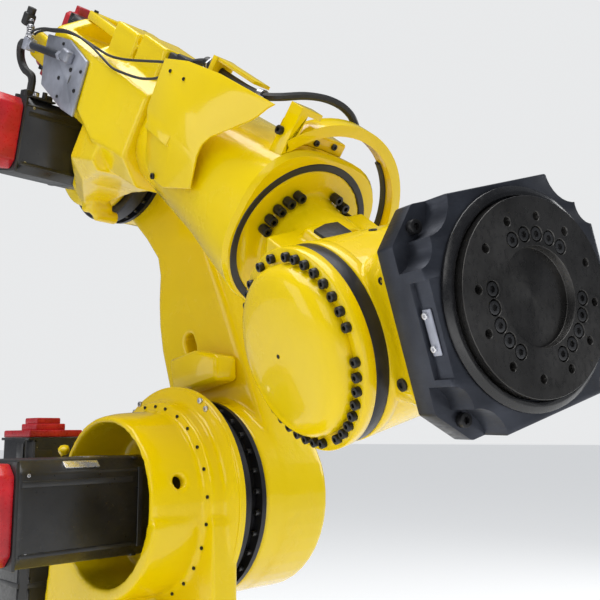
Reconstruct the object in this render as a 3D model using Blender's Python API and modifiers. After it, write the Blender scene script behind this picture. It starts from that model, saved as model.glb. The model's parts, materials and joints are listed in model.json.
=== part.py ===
# Heavy six-axis industrial robot arm with an in-line wrist, metres, +Z up.
# The origin is on the turning axis of the table, at floor level; +X is the arm's forward side.
# The motors stand on the -Y side, the lower arm on the +Y side. Every joint has an empty on its
# axis, and each casting is modelled in the frame of the joint that carries it.
import math

import bmesh
import bpy
from mathutils import Euler, Matrix, Vector

# Joint layout
shoulderReach = 0.370
shoulderHeight = 0.940
lowerArmLength = 1.0175
lowerArmLean = math.radians(-23.65)
elbowRise = 0.200
forearmLength = 1.250
forearmPitch = math.radians(38.85)
wristRoll = math.radians(22.42)
wristBend = math.radians(39.60)
flangeReach = 0.2812

# General
gap = 0.0003
runningGap = 0.006
joinDepth = 0.010
cutterReach = 0.100
weldDistance = 0.00001
flatAngle = math.radians(0.5)
roundSteps = 56
smallSteps = 32
axisShown = 0.100
halfTurn = math.radians(180)
quarterTurn = math.radians(90)

# Base
footLength = 0.860
footWidth = 0.800
footCorner = 0.120
footThick = 0.055
baseTop = 0.330
baseRimRadius = 0.345
baseRimThick = 0.045
baseRimTaper = 0.045
baseWaist = 0.300
baseFlare = 0.040
baseFlareHeight = 0.050
baseBackInset = 0.030
baseBackHalf = 0.190
baseBackFront = -0.200
baseBackDrop = 0.050
bearingInset = 0.025
panelWidth = 0.300
panelHeight = 0.190
panelDepth = 0.030
panelRise = 0.015
panelEdge = 0.003

# Turntable and pedestal
tableRadius = 0.330
tableThick = 0.110
tableEdge = 0.030
pedestalBack = -0.130
pedestalFront = 0.590
pedestalNear = -0.120
pedestalFar = 0.094
pedestalKneeX = 0.300
pedestalFoot = 0.020
pedestalChin = 0.200
pedestalFrontDrop = 0.030
pedestalFrontLean = 0.010
pedestalTopBack = 0.185
pedestalTopDrop = 0.013
pedestalHeel = 0.190
motorSeatDrop = 0.240
motorSeatBack = -0.042
motorSeatFront = 0.150
motorSeatStep = 0.040

# Shoulder housing, as (radius, place along Y) from the mouth to the flange
mouthRadius = 0.1614
mouthFloor = 0.052
flangeEnd = 0.094
flangeOuter = 0.2385
housingProfile = [(0.1734, -0.082), (0.1800, -0.050), (0.1870, 0.033), (0.2060, 0.035),
                  (0.2080, 0.068), (flangeOuter, 0.078), (flangeOuter, flangeEnd)]

# Lower arm, its outline as (forward, up) in the swing plane
reducerRadius = 0.2130
armFootNear = 0.1715
armNear = 0.2150
armFar = 0.3600
armFootRadius = 0.2100
armFootStart = math.radians(-222)
armFootEnd = math.radians(-4)
armFootCount = 26
armHeadRadius = 0.2070
armHeadStart = math.radians(-22)
armHeadEnd = math.radians(249)
armHeadCount = 28
armFrontPoints = [(0.203, 0.100), (0.199, 0.270), (0.197, 0.400), (0.189, 0.560), (0.187, 0.760)]
armRearPoints = [(-0.033, 0.728), (-0.008, 0.650), (-0.016, 0.600), (-0.043, 0.545),
                 (-0.066, 0.480), (-0.080, 0.410), (-0.086, 0.310), (-0.108, 0.220)]
armEdge = 0.016
bossRadius = 0.2085
bossEdge = 0.0085
bossEnd = 0.2350
lightHoleRadius = 0.018
lightHoleHalf = 0.013
lightHoleX = 0.038
lightHoleZ = 0.367
lightHoleCount = 9
stopOutline = [(0.010, 0.246), (0.025, 0.330), (0.115, 0.306), (0.185, 0.256), (0.165, 0.206)]
stopNear = 0.1500
stopEdge = 0.008

# Motors
motorFrame = 0.187
motorCap = 0.062
motorEdge = 0.005
capEdge = 0.006
motorCornerShare = 0.12
capShare = 0.94
plugSideShare = 0.26
plugWideShare = 0.90
plugReachShare = 0.47
plugDeepShare = 0.34
shoulderMotorBody = 0.327
turnMotorFrame = 0.140
turnMotorBody = 0.372
turnMotorCap = 0.045
turnMotorX = 0.042
turnMotorY = -0.048
elbowMotorBody = 0.231
elbowMotorX = 0.032
elbowMotorZ = -0.040
elbowMotorTurn = math.radians(-23.85)
wristMotorFrame = 0.078
wristMotorBody = 0.110
wristMotorCap = 0.034
wristMotorPlaces = [(0.072, 0.050, 0), (-0.016, 0.050, 0), (-0.048, -0.036, halfTurn)]

# Elbow casing: hub as (radius, place along Y), housing as (along, near, far, low, high, cut)
hubEnd = 0.1500
hubProfile = [(0.1500, 0.085), (0.1830, 0.100), (0.1830, 0.125), (0.1900, 0.135), (0.1900, hubEnd)]
facetTopShare = 1.4
casingBack = 0.055
casingFront = 0.560
casingNear = -0.1350
casingTop = 0.3050
casingSections = [
    (casingBack, -0.120, 0.112, 0.115, 0.290, 0.030),
    (0.085, casingNear, 0.125, 0.105, casingTop, 0.043),
    (0.300, casingNear, 0.125, 0.100, casingTop, 0.048),
    (0.420, casingNear, 0.128, 0.064, 0.318, 0.052),
    (casingFront, -0.128, 0.128, 0.078, 0.322, 0.056),
]
bridgeSections = [
    (0.030, 0.012, 0.112, -0.140, 0.150, 0.030),
    (0.190, 0.000, 0.112, -0.120, 0.165, 0.040),
    (0.335, -0.118, 0.112, -0.010, 0.190, 0.050),
    (0.450, -0.128, 0.112, 0.060, 0.210, 0.020),
]
motorRoomReach = 0.250
lidBoxes = [((0.285, -0.102, 0.260), (0.393, -0.012, 0.350)),
            ((0.402, -0.100, 0.260), (0.514, -0.010, 0.360))]
pocketLow = (0.120, -0.112, 0.266)
pocketHigh = (0.262, 0.045, 0.450)
railLow = (0.090, -0.078, casingTop + gap)
railHigh = (0.280, 0.082, 0.327)
railMargin = 0.022
sidePlateOutline = [(0.068, 0.236), (0.186, 0.259), (0.300, 0.246), (0.322, 0.124), (0.258, 0.118),
                    (0.122, 0.127), (0.083, 0.188)]
sidePlateThick = 0.008
sidePlateEdge = 0.002

# Pipe across the side plate, its fitting, the hose to the gland on the elbow motor and two cables
pipeRadius = 0.009
pipeLength = 0.186
pipeTilt = math.radians(-10)
pipeStartX = 0.022
pipeStartZ = 0.1885
fittingLength = 0.024
fittingHalfWide = 0.013
fittingHalfTall = 0.0145
glandLow = 0.028
glandHigh = 0.062
glandNear = -0.138
glandFar = -0.102
glandTall = 0.020
elbowHoseRadius = 0.010
elbowHoseKnots = [(-0.0022, -0.1526, 0.1842), (-0.016, -0.1526, 0.1818), (-0.034, -0.150, 0.179),
                  (-0.056, -0.144, 0.170), (-0.069, -0.137, 0.153), (-0.069, -0.130, 0.134),
                  (-0.056, -0.124, 0.120), (-0.034, -0.121, 0.114), (-0.012, -0.120, 0.115),
                  (0.006, -0.120, 0.113), (0.0174, -0.120, 0.1043), (0.0222, -0.120, 0.0934),
                  (0.0271, -0.120, 0.0826)]
cableRadius = 0.0028
cableKnots = [[(0.0074, -0.148, 0.2012), (0.0064, -0.148, 0.2065), (0.010, -0.148, 0.216),
               (0.026, -0.147, 0.227), (0.060, -0.146, 0.241), (0.100, -0.145, 0.251),
               (0.160, -0.142, 0.268), (0.220, -0.137, 0.2765), (0.290, -0.130, 0.279),
               (0.350, -0.124, 0.282), (0.430, -0.131, 0.298), (0.520, -0.141, 0.322),
               (0.600, -0.146, 0.345), (0.640, -0.1475, 0.352), (0.665, -0.1475, 0.354)],
              [(0.0074, -0.157, 0.2012), (0.0064, -0.157, 0.2065), (0.010, -0.157, 0.217),
               (0.026, -0.156, 0.2285), (0.060, -0.154, 0.243), (0.100, -0.152, 0.254),
               (0.160, -0.149, 0.271), (0.220, -0.144, 0.278), (0.290, -0.1395, 0.2775),
               (0.350, -0.1385, 0.273), (0.410, -0.140, 0.270), (0.466, -0.141, 0.277),
               (0.529, -0.141, 0.289), (0.582, -0.1435, 0.306), (0.612, -0.146, 0.320),
               (0.640, -0.1475, 0.331), (0.662, -0.1475, 0.336)]]

# Forearm: (along, half width, half height up, half height down); the top is squarer than the belly
discBack = 0.2646
discAt = forearmLength - discBack
discRadius = 0.1285
discThick = 0.030
discStep = 0.028
grooveRadius = 0.1387
socketDepth = 0.040
ringCount = 40
bellyPower = 2.05
topPower = 2.90
forearmSections = [
    (casingFront + gap, 0.1160, 0.1200, 0.1135),
    (0.800, 0.1300, 0.1350, 0.1250),
    (discAt - 0.100, 0.1400, 0.1450, 0.1370),
    (discAt - 0.010, 0.1500, 0.1530, 0.1460),
    (discAt, 0.1440, 0.1470, 0.1425),
]

# Sheet cover, (along, up), bent inwards below the fold
coverOutline = [(0.620, 0.355), (0.695, 0.375), (0.800, 0.388), (0.965, 0.396), (0.952, 0.384),
                (0.938, 0.365), (0.925, 0.352), (0.845, 0.290), (0.833, 0.272), (0.828, 0.245),
                (0.832, 0.190), (0.745, 0.152), (0.700, 0.150), (0.660, 0.168), (0.650, 0.205),
                (0.628, 0.255)]
coverNear = -0.1600
coverThick = 0.004
coverFold = 0.262
coverTiltShare = 0.20
coverTabLow = (0.640, -0.1570, 0.225)
coverTabHigh = (0.730, -0.0900, 0.250)

# Hoop that carries the hoses past the turning wrist, with its post, shelf, ear and tab
hoopWide = 0.0335
hoopFrontInset = 0.0105
hoopFront = discAt - hoopFrontInset
hoopBack = hoopFront - hoopWide
hoopSeam = 0.001
hoopCentreY = 0.033
hoopCentreZ = 0.215
hoopOuter = 0.198
hoopInner = 0.178
hoopStart = math.radians(137)
hoopEnd = math.radians(6)
hoopCount = 26
postNear = -0.112
postFar = -0.094
postFoot = 0.310
postTop = 0.408
shelfFar = -0.066
shelfThick = 0.010
earNear = 0.110
earFar = 0.222
earLow = 0.214
earHigh = 0.244
tabNear = 0.205
tabFar = 0.250
tabLow = 0.274
tabHigh = 0.286

# Hose brackets on the forearm and the hose
bracketSink = 0.100
frontBracketLength = 0.061
frontBracketNear = -0.064
frontBracketFar = 0.046
frontBracketTop = 0.372
rearBracketX = (0.690, 0.704)
rearBracketNear = -0.112
rearBracketFar = -0.070
rearBracketTop = 0.4020
rearShelfEnd = 0.828
rearShelfThick = 0.006
hoseHoleRadius = 0.008
hoseHoleY = -0.090
hoseHoleZ = 0.380
bracketEdge = 0.003
hoseRadius = 0.007
hoseKnots = [(0.5155, -0.070, 0.345), (0.527, -0.070, 0.345), (0.545, -0.072, 0.347),
             (0.590, -0.080, 0.363), (0.630, -0.088, 0.376), (0.658, hoseHoleY, hoseHoleZ),
             (0.680, hoseHoleY, hoseHoleZ), (0.712, hoseHoleY, hoseHoleZ),
             (0.734, hoseHoleY, hoseHoleZ), (0.770, -0.095, 0.381), (0.815, -0.102, 0.383),
             (0.862, -0.105, 0.388), (0.888, -0.093, 0.400), (0.895, -0.051, 0.418),
             (0.899, -0.011, 0.427), (0.903, 0.025, 0.427), (0.911, 0.048, 0.420),
             (0.919, 0.059, 0.410), (0.928, 0.062, 0.402), (0.935, 0.062, 0.4005),
             (0.9405, 0.062, 0.4005)]
hoseSteps = 5
cableSteps = 4

# Wrist neck, in the frame of the roll axis
neckRadius = 0.0780
neckFlare = 0.006
neckFlareLength = 0.030
neckFront = -0.150
armSections = [
    (-0.085, -0.215, -0.090, 0.062),
    (0.100, -0.210, -0.090, 0.058),
    (0.150, -0.202, -0.090, 0.056),
    (0.180, -0.182, -0.090, 0.048),
]
drumRadius = 0.1455
drumFar = 0.1400
drumCutterReach = 0.300
bandStart = 0.1385
bandEnd = 0.1610
bandInset = 0.001
rimEnd = 0.1800
domeProfile = [(0.050, 0.2140), (0.090, 0.2090), (0.112, 0.2000), (0.122, 0.1890)]
domeTop = 0.2150
domeFoot = 0.1240

# Head, tool block and flange, in the frame of the bend axis
blockBack = 0.1900
blockFront = 0.2620
blockHalfY = 0.1550
blockHalfZ = 0.1470
blockCorner = 0.0450
blockEdge = 0.003
pocketFloor = 0.2220
pocketRound = 0.0470
pocketY = 0.1350
pocketZ = 0.1490
smallPocketRound = 0.0300
smallPocketY = 0.1600
smallPocketZ = 0.0980
headSections = [
    (0.020, 0.134, 0.100, 5.0),
    (0.110, 0.135, 0.104, 5.0),
    (0.155, 0.137, 0.120, 5.0),
    (blockBack - gap, 0.149, 0.135, 4.0),
]
slotBack = 0.2360
slotLow = -0.0600
slotHigh = 0.0550
slotDepth = 0.0070
plateBack = 0.2390
plateFront = 0.2560
plateLow = -0.0420
plateHigh = 0.0300
plateSink = 0.0035
sealInner = 0.1272
sealRadius = 0.1330
sealOuter = 0.1410
sealStep = 0.0040
sealHeight = 0.0090
flangeRadius = 0.1250
recessRadius = 0.0625
recessDepth = 0.012

for item in list(bpy.data.objects):
    bpy.data.objects.remove(item, do_unlink=True)

partsCollection = bpy.data.collections.new("robot_arm")
cutterCollection = bpy.data.collections.new("cutters")
bpy.context.scene.collection.children.link(partsCollection)
bpy.context.scene.collection.children.link(cutterCollection)


def finish(name, colour, roughness, metallic=0.0):
    made = bpy.data.materials.new(name)
    made.use_nodes = True
    shader = made.node_tree.nodes["Principled BSDF"]
    shader.inputs["Base Color"].default_value = (colour[0], colour[1], colour[2], 1.0)
    shader.inputs["Roughness"].default_value = roughness
    shader.inputs["Metallic"].default_value = metallic
    made.diffuse_color = (colour[0], colour[1], colour[2], 1.0)
    return made


yellow = (0.86, 0.62, 0.0)
black = (0.012, 0.012, 0.014)
gunmetal = (0.045, 0.048, 0.055)
red = (0.62, 0.015, 0.03)
alloy = (0.42, 0.44, 0.50)


def axisEmpty(name, parent, location, rotation):
    empty = bpy.data.objects.new(name, None)
    empty.parent = parent
    empty.location = location
    empty.rotation_euler = rotation
    empty.empty_display_size = axisShown
    partsCollection.objects.link(empty)
    return empty


def place(mesh, name, parent, material, location=(0, 0, 0), rotation=(0, 0, 0), cutter=False):
    body = bpy.data.objects.new(name, mesh)
    body.parent = parent
    body.location = location
    body.rotation_euler = rotation
    if cutter:
        cutterCollection.objects.link(body)
        body.hide_render = True
        body.display_type = "WIRE"
    else:
        partsCollection.objects.link(body)
        mesh.materials.append(material)
    return body


def box(name, parent, low, high, material=None, rotation=(0, 0, 0), cutter=False):
    mesh = bpy.data.meshes.new(name)
    work = bmesh.new()
    bmesh.ops.create_cube(work, size=1.0)
    size = [high[i] - low[i] for i in range(3)]
    bmesh.ops.scale(work, vec=size, verts=work.verts)
    work.to_mesh(mesh)
    work.free()
    middle = [(high[i] + low[i]) / 2 for i in range(3)]
    return place(mesh, name, parent, material, middle, rotation, cutter)


def turned(name, parent, profile, material=None, location=(0, 0, 0), rotation=(0, 0, 0),
           steps=roundSteps, cutter=False):
    mesh = bpy.data.meshes.new(name)
    work = bmesh.new()
    points = [work.verts.new((radius, 0, height)) for radius, height in profile]
    for first, second in zip(points, points[1:]):
        work.edges.new((first, second))
    if profile[0][0] > 0:
        work.edges.new((points[-1], points[0]))
    work.to_mesh(mesh)
    work.free()
    body = place(mesh, name, parent, material, location, rotation, cutter)
    screw = body.modifiers.new("turn", "SCREW")
    screw.angle = math.tau
    screw.steps = steps
    screw.render_steps = steps
    screw.use_merge_vertices = True
    screw.merge_threshold = weldDistance
    screw.use_smooth_shade = True
    return body


def rod(name, parent, radius, low, high, material=None, location=(0, 0, 0), rotation=(0, 0, 0),
        steps=roundSteps, cutter=False):
    profile = [(0, high), (radius, high), (radius, low), (0, low)]
    return turned(name, parent, profile, material, location, rotation, steps, cutter)


def slab(name, parent, outline, low, high, material=None, rotation=(0, 0, 0), location=(0, 0, 0),
         cutter=False):
    # A flat outline in the local XY plane, from low to high along local Z.
    curve = bpy.data.curves.new(name + "_outline", "CURVE")
    curve.dimensions = "2D"
    curve.fill_mode = "BOTH"
    curve.extrude = (high - low) / 2
    spline = curve.splines.new("POLY")
    spline.points.add(len(outline) - 1)
    for point, (x, y) in zip(spline.points, outline):
        point.co = (x, y, 0, 1)
    spline.use_cyclic_u = True
    flat = bpy.data.objects.new(name + "_flat", curve)
    cutterCollection.objects.link(flat)
    bpy.context.view_layer.update()
    solid = flat.evaluated_get(bpy.context.evaluated_depsgraph_get())
    mesh = bpy.data.meshes.new_from_object(solid)
    mesh.name = name
    mesh.materials.clear()
    bpy.data.objects.remove(flat, do_unlink=True)
    work = bmesh.new()
    work.from_mesh(mesh)
    bmesh.ops.translate(work, verts=work.verts, vec=(0, 0, (high + low) / 2))
    bmesh.ops.remove_doubles(work, verts=work.verts, dist=weldDistance)
    bmesh.ops.dissolve_limit(work, angle_limit=flatAngle, verts=work.verts, edges=work.edges)
    bmesh.ops.recalc_face_normals(work, faces=work.faces)
    work.to_mesh(mesh)
    work.free()
    return place(mesh, name, parent, material, location, rotation, cutter)


def loft(name, parent, sections, material=None, location=(0, 0, 0), rotation=(0, 0, 0),
         cutter=False):
    # Sections of equal count, each a ring of points, joined in order and closed at both ends.
    mesh = bpy.data.meshes.new(name)
    work = bmesh.new()
    rings = [[work.verts.new(point) for point in section] for section in sections]
    count = len(rings[0])
    for first, second in zip(rings, rings[1:]):
        for index in range(count):
            after = (index + 1) % count
            work.faces.new((first[index], first[after], second[after], second[index]))
    work.faces.new(rings[0])
    work.faces.new(rings[-1])
    bmesh.ops.recalc_face_normals(work, faces=work.faces)
    work.to_mesh(mesh)
    work.free()
    return place(mesh, name, parent, material, location, rotation, cutter)


def roundedRing(x, middleZ, halfY, halfUp, halfDown, powerUp, powerDown, count=ringCount):
    # A rounded section in the plane at x; its upper and lower halves may differ.
    ring = []
    for index in range(count):
        angle = math.tau * index / count
        c = math.cos(angle)
        s = math.sin(angle)
        power = powerUp if s > 0 else powerDown
        half = halfUp if s > 0 else halfDown
        y = math.copysign(abs(c) ** (2 / power), c) * halfY
        z = math.copysign(abs(s) ** (2 / power), s) * half
        ring.append((x, y, middleZ + z))
    return ring


def facetRing(x, near, far, low, high, cutSize):
    # A rectangle with cut corners in the plane at x.
    return [(x, far - cutSize, high), (x, near + cutSize * facetTopShare, high), (x, near, high - cutSize),
            (x, near, low + cutSize), (x, near + cutSize, low), (x, far - cutSize, low),
            (x, far, low + cutSize), (x, far, high - cutSize)]


def cut(body, cutter):
    step = body.modifiers.new("cut", "BOOLEAN")
    step.operation = "DIFFERENCE"
    step.solver = "EXACT"
    step.object = cutter


def unite(body, other):
    # The second shape is a guide: it is joined into the first and left out of the parts.
    step = body.modifiers.new("unite", "BOOLEAN")
    step.operation = "UNION"
    step.solver = "EXACT"
    step.object = other


def soften(body, width, segments=2, limit=35):
    step = body.modifiers.new("soften", "BEVEL")
    step.width = width
    step.segments = segments
    step.limit_method = "ANGLE"
    step.angle_limit = math.radians(limit)
    step.use_clamp_overlap = True


def cord(name, parent, points, radius, material):
    curve = bpy.data.curves.new(name, "CURVE")
    curve.dimensions = "3D"
    curve.bevel_depth = radius
    curve.bevel_resolution = 2
    curve.use_fill_caps = True
    spline = curve.splines.new("POLY")
    spline.points.add(len(points) - 1)
    for point, co in zip(spline.points, points):
        point.co = (co[0], co[1], co[2], 1)
    body = bpy.data.objects.new(name, curve)
    body.parent = parent
    curve.materials.append(material)
    partsCollection.objects.link(body)
    return body


def smoothPath(anchors, steps):
    # Catmull-Rom points through the anchors, the same number between each pair.
    knots = [Vector(point) for point in anchors]
    ends = [2 * knots[0] - knots[1]] + knots + [2 * knots[-1] - knots[-2]]
    path = []
    for index in range(1, len(ends) - 2):
        before, here, there, after = ends[index - 1:index + 3]
        for step in range(steps):
            t = step / steps
            path.append(0.5 * (2 * here + (there - before) * t
                               + (2 * before - 5 * here + 4 * there - after) * t * t
                               + (3 * here - before - 3 * there + after) * t * t * t))
    path.append(knots[-1])
    return path


def arc(centre, radius, start, end, count):
    return [(centre[0] + radius * math.cos(start + (end - start) * i / (count - 1)),
             centre[1] + radius * math.sin(start + (end - start) * i / (count - 1)))
            for i in range(count)]


toMinusY = (quarterTurn, 0, 0)
toPlusX = (0, quarterTurn, 0)
toMinusX = (0, -quarterTurn, 0)
acrossX = (quarterTurn, 0, quarterTurn)

turnAxis = axisEmpty("turn_axis", None, (0, 0, 0), (0, 0, 0))
shoulderAxis = axisEmpty("shoulder_axis", turnAxis, (shoulderReach, 0, shoulderHeight),
                         (0, lowerArmLean, 0))
elbowAxis = axisEmpty("elbow_axis", shoulderAxis, (0, 0, lowerArmLength),
                      (0, forearmPitch - lowerArmLean, 0))
rollAxis = axisEmpty("roll_axis", elbowAxis, (forearmLength, 0, elbowRise), (wristRoll, 0, 0))
bendAxis = axisEmpty("bend_axis", rollAxis, (0, 0, 0), (0, -wristBend, 0))
toolAxis = axisEmpty("tool_axis", bendAxis, (flangeReach, 0, 0), (0, 0, 0))


# Base: a square foot with cut corners and a round waist that carries the turning bearing.
footHalfX = footLength / 2
footHalfY = footWidth / 2
footOutline = [(footHalfX, footHalfY - footCorner), (footHalfX - footCorner, footHalfY),
               (-footHalfX + footCorner, footHalfY), (-footHalfX, footHalfY - footCorner),
               (-footHalfX, -footHalfY + footCorner), (-footHalfX + footCorner, -footHalfY),
               (footHalfX - footCorner, -footHalfY), (footHalfX, -footHalfY + footCorner)]
foot = slab("base_casting", None, footOutline, 0, footThick, finish("base_paint", yellow, 0.4))
waistGuide = turned("base_waist_guide", None,
                    [(0, baseTop), (baseRimRadius, baseTop), (baseRimRadius, baseTop - baseRimThick),
                     (baseWaist, baseTop - baseRimThick - baseRimTaper),
                     (baseWaist, footThick + baseFlareHeight),
                     (baseWaist + baseFlare, footThick - joinDepth), (0, footThick - joinDepth)],
                    cutter=True)
unite(foot, waistGuide)
backGuide = box("base_back_guide", None,
                (-footHalfX + baseBackInset, -baseBackHalf, footThick - joinDepth),
                (baseBackFront, baseBackHalf, baseTop - baseBackDrop), cutter=True)
unite(foot, backGuide)

rod("turn_reducer", None, tableRadius - bearingInset, baseTop + gap, baseTop + runningGap - gap,
    finish("turn_reducer_steel", black, 0.4, 0.5))

panelX = -footHalfX + baseBackInset
panelFoot = footThick + panelRise
panel = box("base_connector_panel", None,
            (panelX - gap - panelDepth, -panelWidth / 2, panelFoot),
            (panelX - gap, panelWidth / 2, panelFoot + panelHeight),
            finish("panel_alloy", alloy, 0.45, 0.8))
soften(panel, panelEdge, 2)


# Turntable: swivel disc, pedestal and the stepped round housing of the shoulder drive.
tableBottom = baseTop + runningGap
tableTop = tableBottom + tableThick
table = turned("turntable_casting", turnAxis,
               [(0, tableTop), (tableRadius - tableEdge, tableTop), (tableRadius, tableTop - tableEdge),
                (tableRadius, tableBottom), (0, tableBottom)],
               finish("turntable_paint", yellow, 0.35))
motorSeat = shoulderHeight - motorSeatDrop
pedestalOutline = [(pedestalBack, tableBottom + pedestalFoot),
                   (pedestalKneeX, tableBottom + pedestalFoot),
                   (pedestalFront, tableBottom + pedestalChin),
                   (pedestalFront - pedestalFrontLean, shoulderHeight - pedestalFrontDrop),
                   (shoulderReach - pedestalTopBack, shoulderHeight - pedestalTopDrop),
                   (motorSeatFront, motorSeat + motorSeatStep), (motorSeatFront, motorSeat),
                   (motorSeatBack, motorSeat), (pedestalBack, tableBottom + pedestalHeel)]
pedestalGuide = slab("pedestal_guide", turnAxis, pedestalOutline, -pedestalFar, -pedestalNear,
                     rotation=toMinusY, cutter=True)
unite(table, pedestalGuide)
housingPoints = [(0, -housingProfile[0][1])]
housingPoints += [(radius, -y) for radius, y in housingProfile]
housingPoints.append((0, -flangeEnd))
housingGuide = turned("housing_guide", turnAxis, housingPoints,
                      location=(shoulderReach, 0, shoulderHeight), rotation=toMinusY, cutter=True)
unite(table, housingGuide)
mouthCutter = rod("housing_mouth_cutter", turnAxis, mouthRadius, -mouthFloor, footHalfY,
                  location=(shoulderReach, 0, shoulderHeight), rotation=toMinusY, cutter=True)
cut(table, mouthCutter)


def motor(name, parent, frame, body, cap, location, rotation, connectorAngle):
    # Local +Z points from the mounting face to the red end cap.
    half = frame / 2
    corner = frame * motorCornerShare
    outline = [(half, half - corner), (half - corner, half), (-half + corner, half),
               (-half, half - corner), (-half, -half + corner), (-half + corner, -half),
               (half - corner, -half), (half, -half + corner)]
    shell = slab(name, parent, outline, 0, body, finish(name + "_paint", black, 0.35),
                 rotation=rotation, location=location)
    turn = Euler(rotation).to_matrix()
    capAt = Vector(location) + turn @ Vector((0, 0, body + gap))
    small = [(x * capShare, y * capShare) for x, y in outline]
    end = slab(name + "_cap", parent, small, 0, cap, finish(name + "_cap_paint", red, 0.35),
               rotation=rotation, location=capAt)
    side = frame * plugSideShare
    wide = side * plugWideShare
    deep = cap * plugDeepShare
    reach = frame * plugReachShare
    plugGuide = box(name + "_plug_guide", parent, (-side, -wide, -deep), (side, wide, deep), cutter=True)
    spin = turn @ Matrix.Rotation(connectorAngle, 3, "Z")
    plugGuide.location = Vector(location) + spin @ Vector((reach, 0, body + gap + cap / 2))
    plugGuide.rotation_euler = spin.to_euler()
    unite(end, plugGuide)
    soften(shell, motorEdge, 2)
    soften(end, capEdge, 2)
    return shell, end


# Shoulder motor in the mouth of the housing, turning motor upright on the pedestal's shoulder.
motor("shoulder_motor", turnAxis, motorFrame, shoulderMotorBody, motorCap,
      (shoulderReach, mouthFloor - gap, shoulderHeight), toMinusY, halfTurn)
motor("turn_motor", turnAxis, turnMotorFrame, turnMotorBody, turnMotorCap,
      (turnMotorX, turnMotorY, motorSeat + gap), (0, 0, 0), halfTurn)
# Shoulder reducer, between the housing flange and the lower arm.
rod("shoulder_reducer", turnAxis, reducerRadius, -armFootNear + gap, -flangeEnd - gap,
    finish("shoulder_reducer_steel", black, 0.4, 0.5),
    location=(shoulderReach, 0, shoulderHeight), rotation=toMinusY)


# Lower arm: one long casting drawn in the swing plane, a foot boss and an oval light hole.
armOutline = arc((0, 0), armFootRadius, armFootStart, armFootEnd, armFootCount)
armOutline += armFrontPoints
armOutline += arc((0, lowerArmLength), armHeadRadius, armHeadStart, armHeadEnd, armHeadCount)
armOutline += armRearPoints
arm = slab("lower_arm", shoulderAxis, armOutline, -armFar, -armNear,
           finish("lower_arm_paint", yellow, 0.35), rotation=toMinusY)
soften(arm, armEdge, 3, 50)
bossGuide = turned("arm_boss_guide", shoulderAxis,
                   [(0, -armFootNear), (bossRadius - bossEdge, -armFootNear),
                    (bossRadius, -armFootNear - bossEdge), (bossRadius, -bossEnd), (0, -bossEnd)],
                   rotation=toMinusY, cutter=True)
unite(arm, bossGuide)
holeOutline = arc((lightHoleX, lightHoleZ + lightHoleHalf), lightHoleRadius, 0, halfTurn, lightHoleCount)
holeOutline += arc((lightHoleX, lightHoleZ - lightHoleHalf), lightHoleRadius, halfTurn, 2 * halfTurn,
                   lightHoleCount)
lightCutter = slab("arm_light_cutter", shoulderAxis, holeOutline, -armFar - cutterReach,
                   -armNear + cutterReach, rotation=toMinusY, cutter=True)
cut(arm, lightCutter)
stopBlock = slab("arm_stop_block", shoulderAxis, stopOutline, -armNear + gap, -stopNear,
                 finish("stop_paint", yellow, 0.35), rotation=toMinusY)
soften(stopBlock, stopEdge, 2)


# Elbow casing: the round hub of the elbow drive and the long facetted housing over it.
hubPoints = [(0, -hubProfile[0][1])]
hubPoints += [(radius, -y) for radius, y in hubProfile]
hubPoints.append((0, -hubEnd))
casing = turned("elbow_casting", elbowAxis, hubPoints, finish("elbow_paint", yellow, 0.35),
                rotation=toMinusY)
casingGuide = loft("elbow_housing_guide", elbowAxis, [facetRing(*row) for row in casingSections],
                   cutter=True)
unite(casing, casingGuide)
bridgeGuide = loft("elbow_bridge_guide", elbowAxis, [facetRing(*row) for row in bridgeSections],
                   cutter=True)
unite(casing, bridgeGuide)
for index, (low, high) in enumerate(lidBoxes):
    lidGuide = box("elbow_lid_guide_%d" % (index + 1), elbowAxis, low, high, cutter=True)
    unite(casing, lidGuide)
pocketCutter = box("elbow_pocket_cutter", elbowAxis, pocketLow, pocketHigh, cutter=True)
cut(casing, pocketCutter)
# Room for the elbow motor, which stands on the hub's near face.
motorRoom = motorFrame / 2 + runningGap
roomCutter = box("elbow_motor_room_cutter", elbowAxis, (-motorRoomReach, -motorRoomReach, -motorRoomReach),
                 (motorRoom, hubProfile[0][1], motorRoom), rotation=(0, elbowMotorTurn, 0), cutter=True)
roomTurn = Matrix.Rotation(elbowMotorTurn, 3, "Y")
roomCutter.location = Vector((elbowMotorX, 0, elbowMotorZ)) + roomTurn @ roomCutter.location
cut(casing, roomCutter)

rod("elbow_reducer", elbowAxis, reducerRadius, -armNear + gap, -hubEnd - gap,
    finish("elbow_reducer_steel", black, 0.4, 0.5), rotation=toMinusY)
elbowMotorAim = Matrix.Rotation(elbowMotorTurn, 3, "Y") @ Euler(toMinusY).to_matrix()
motor("elbow_motor", elbowAxis, motorFrame, elbowMotorBody, motorCap,
      (elbowMotorX, hubProfile[0][1] - gap, elbowMotorZ), elbowMotorAim.to_euler(), halfTurn)

sidePlate = slab("elbow_side_plate", elbowAxis, sidePlateOutline, -casingNear + gap,
                 -casingNear + gap + sidePlateThick, finish("side_plate_alloy", alloy, 0.45, 0.7),
                 rotation=toMinusY)
soften(sidePlate, sidePlateEdge, 1)

railFrame = box("elbow_rail_frame", elbowAxis, railLow, railHigh, finish("rail_paint", yellow, 0.35))
railWindow = box("rail_window_cutter", elbowAxis,
                 (railLow[0] + railMargin, railLow[1] + railMargin, railLow[2] - cutterReach),
                 (railHigh[0] - railMargin, railHigh[1] - railMargin, railHigh[2] + cutterReach),
                 cutter=True)
cut(railFrame, railWindow)

# Rear drive motors of the three wrist axes, on the casing's rear face.
for index, (y, z, spin) in enumerate(wristMotorPlaces):
    motor("wrist_motor_%d" % (index + 1), elbowAxis, wristMotorFrame, wristMotorBody, wristMotorCap,
          (casingBack - gap, y, elbowRise + z), toMinusX, spin)


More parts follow.
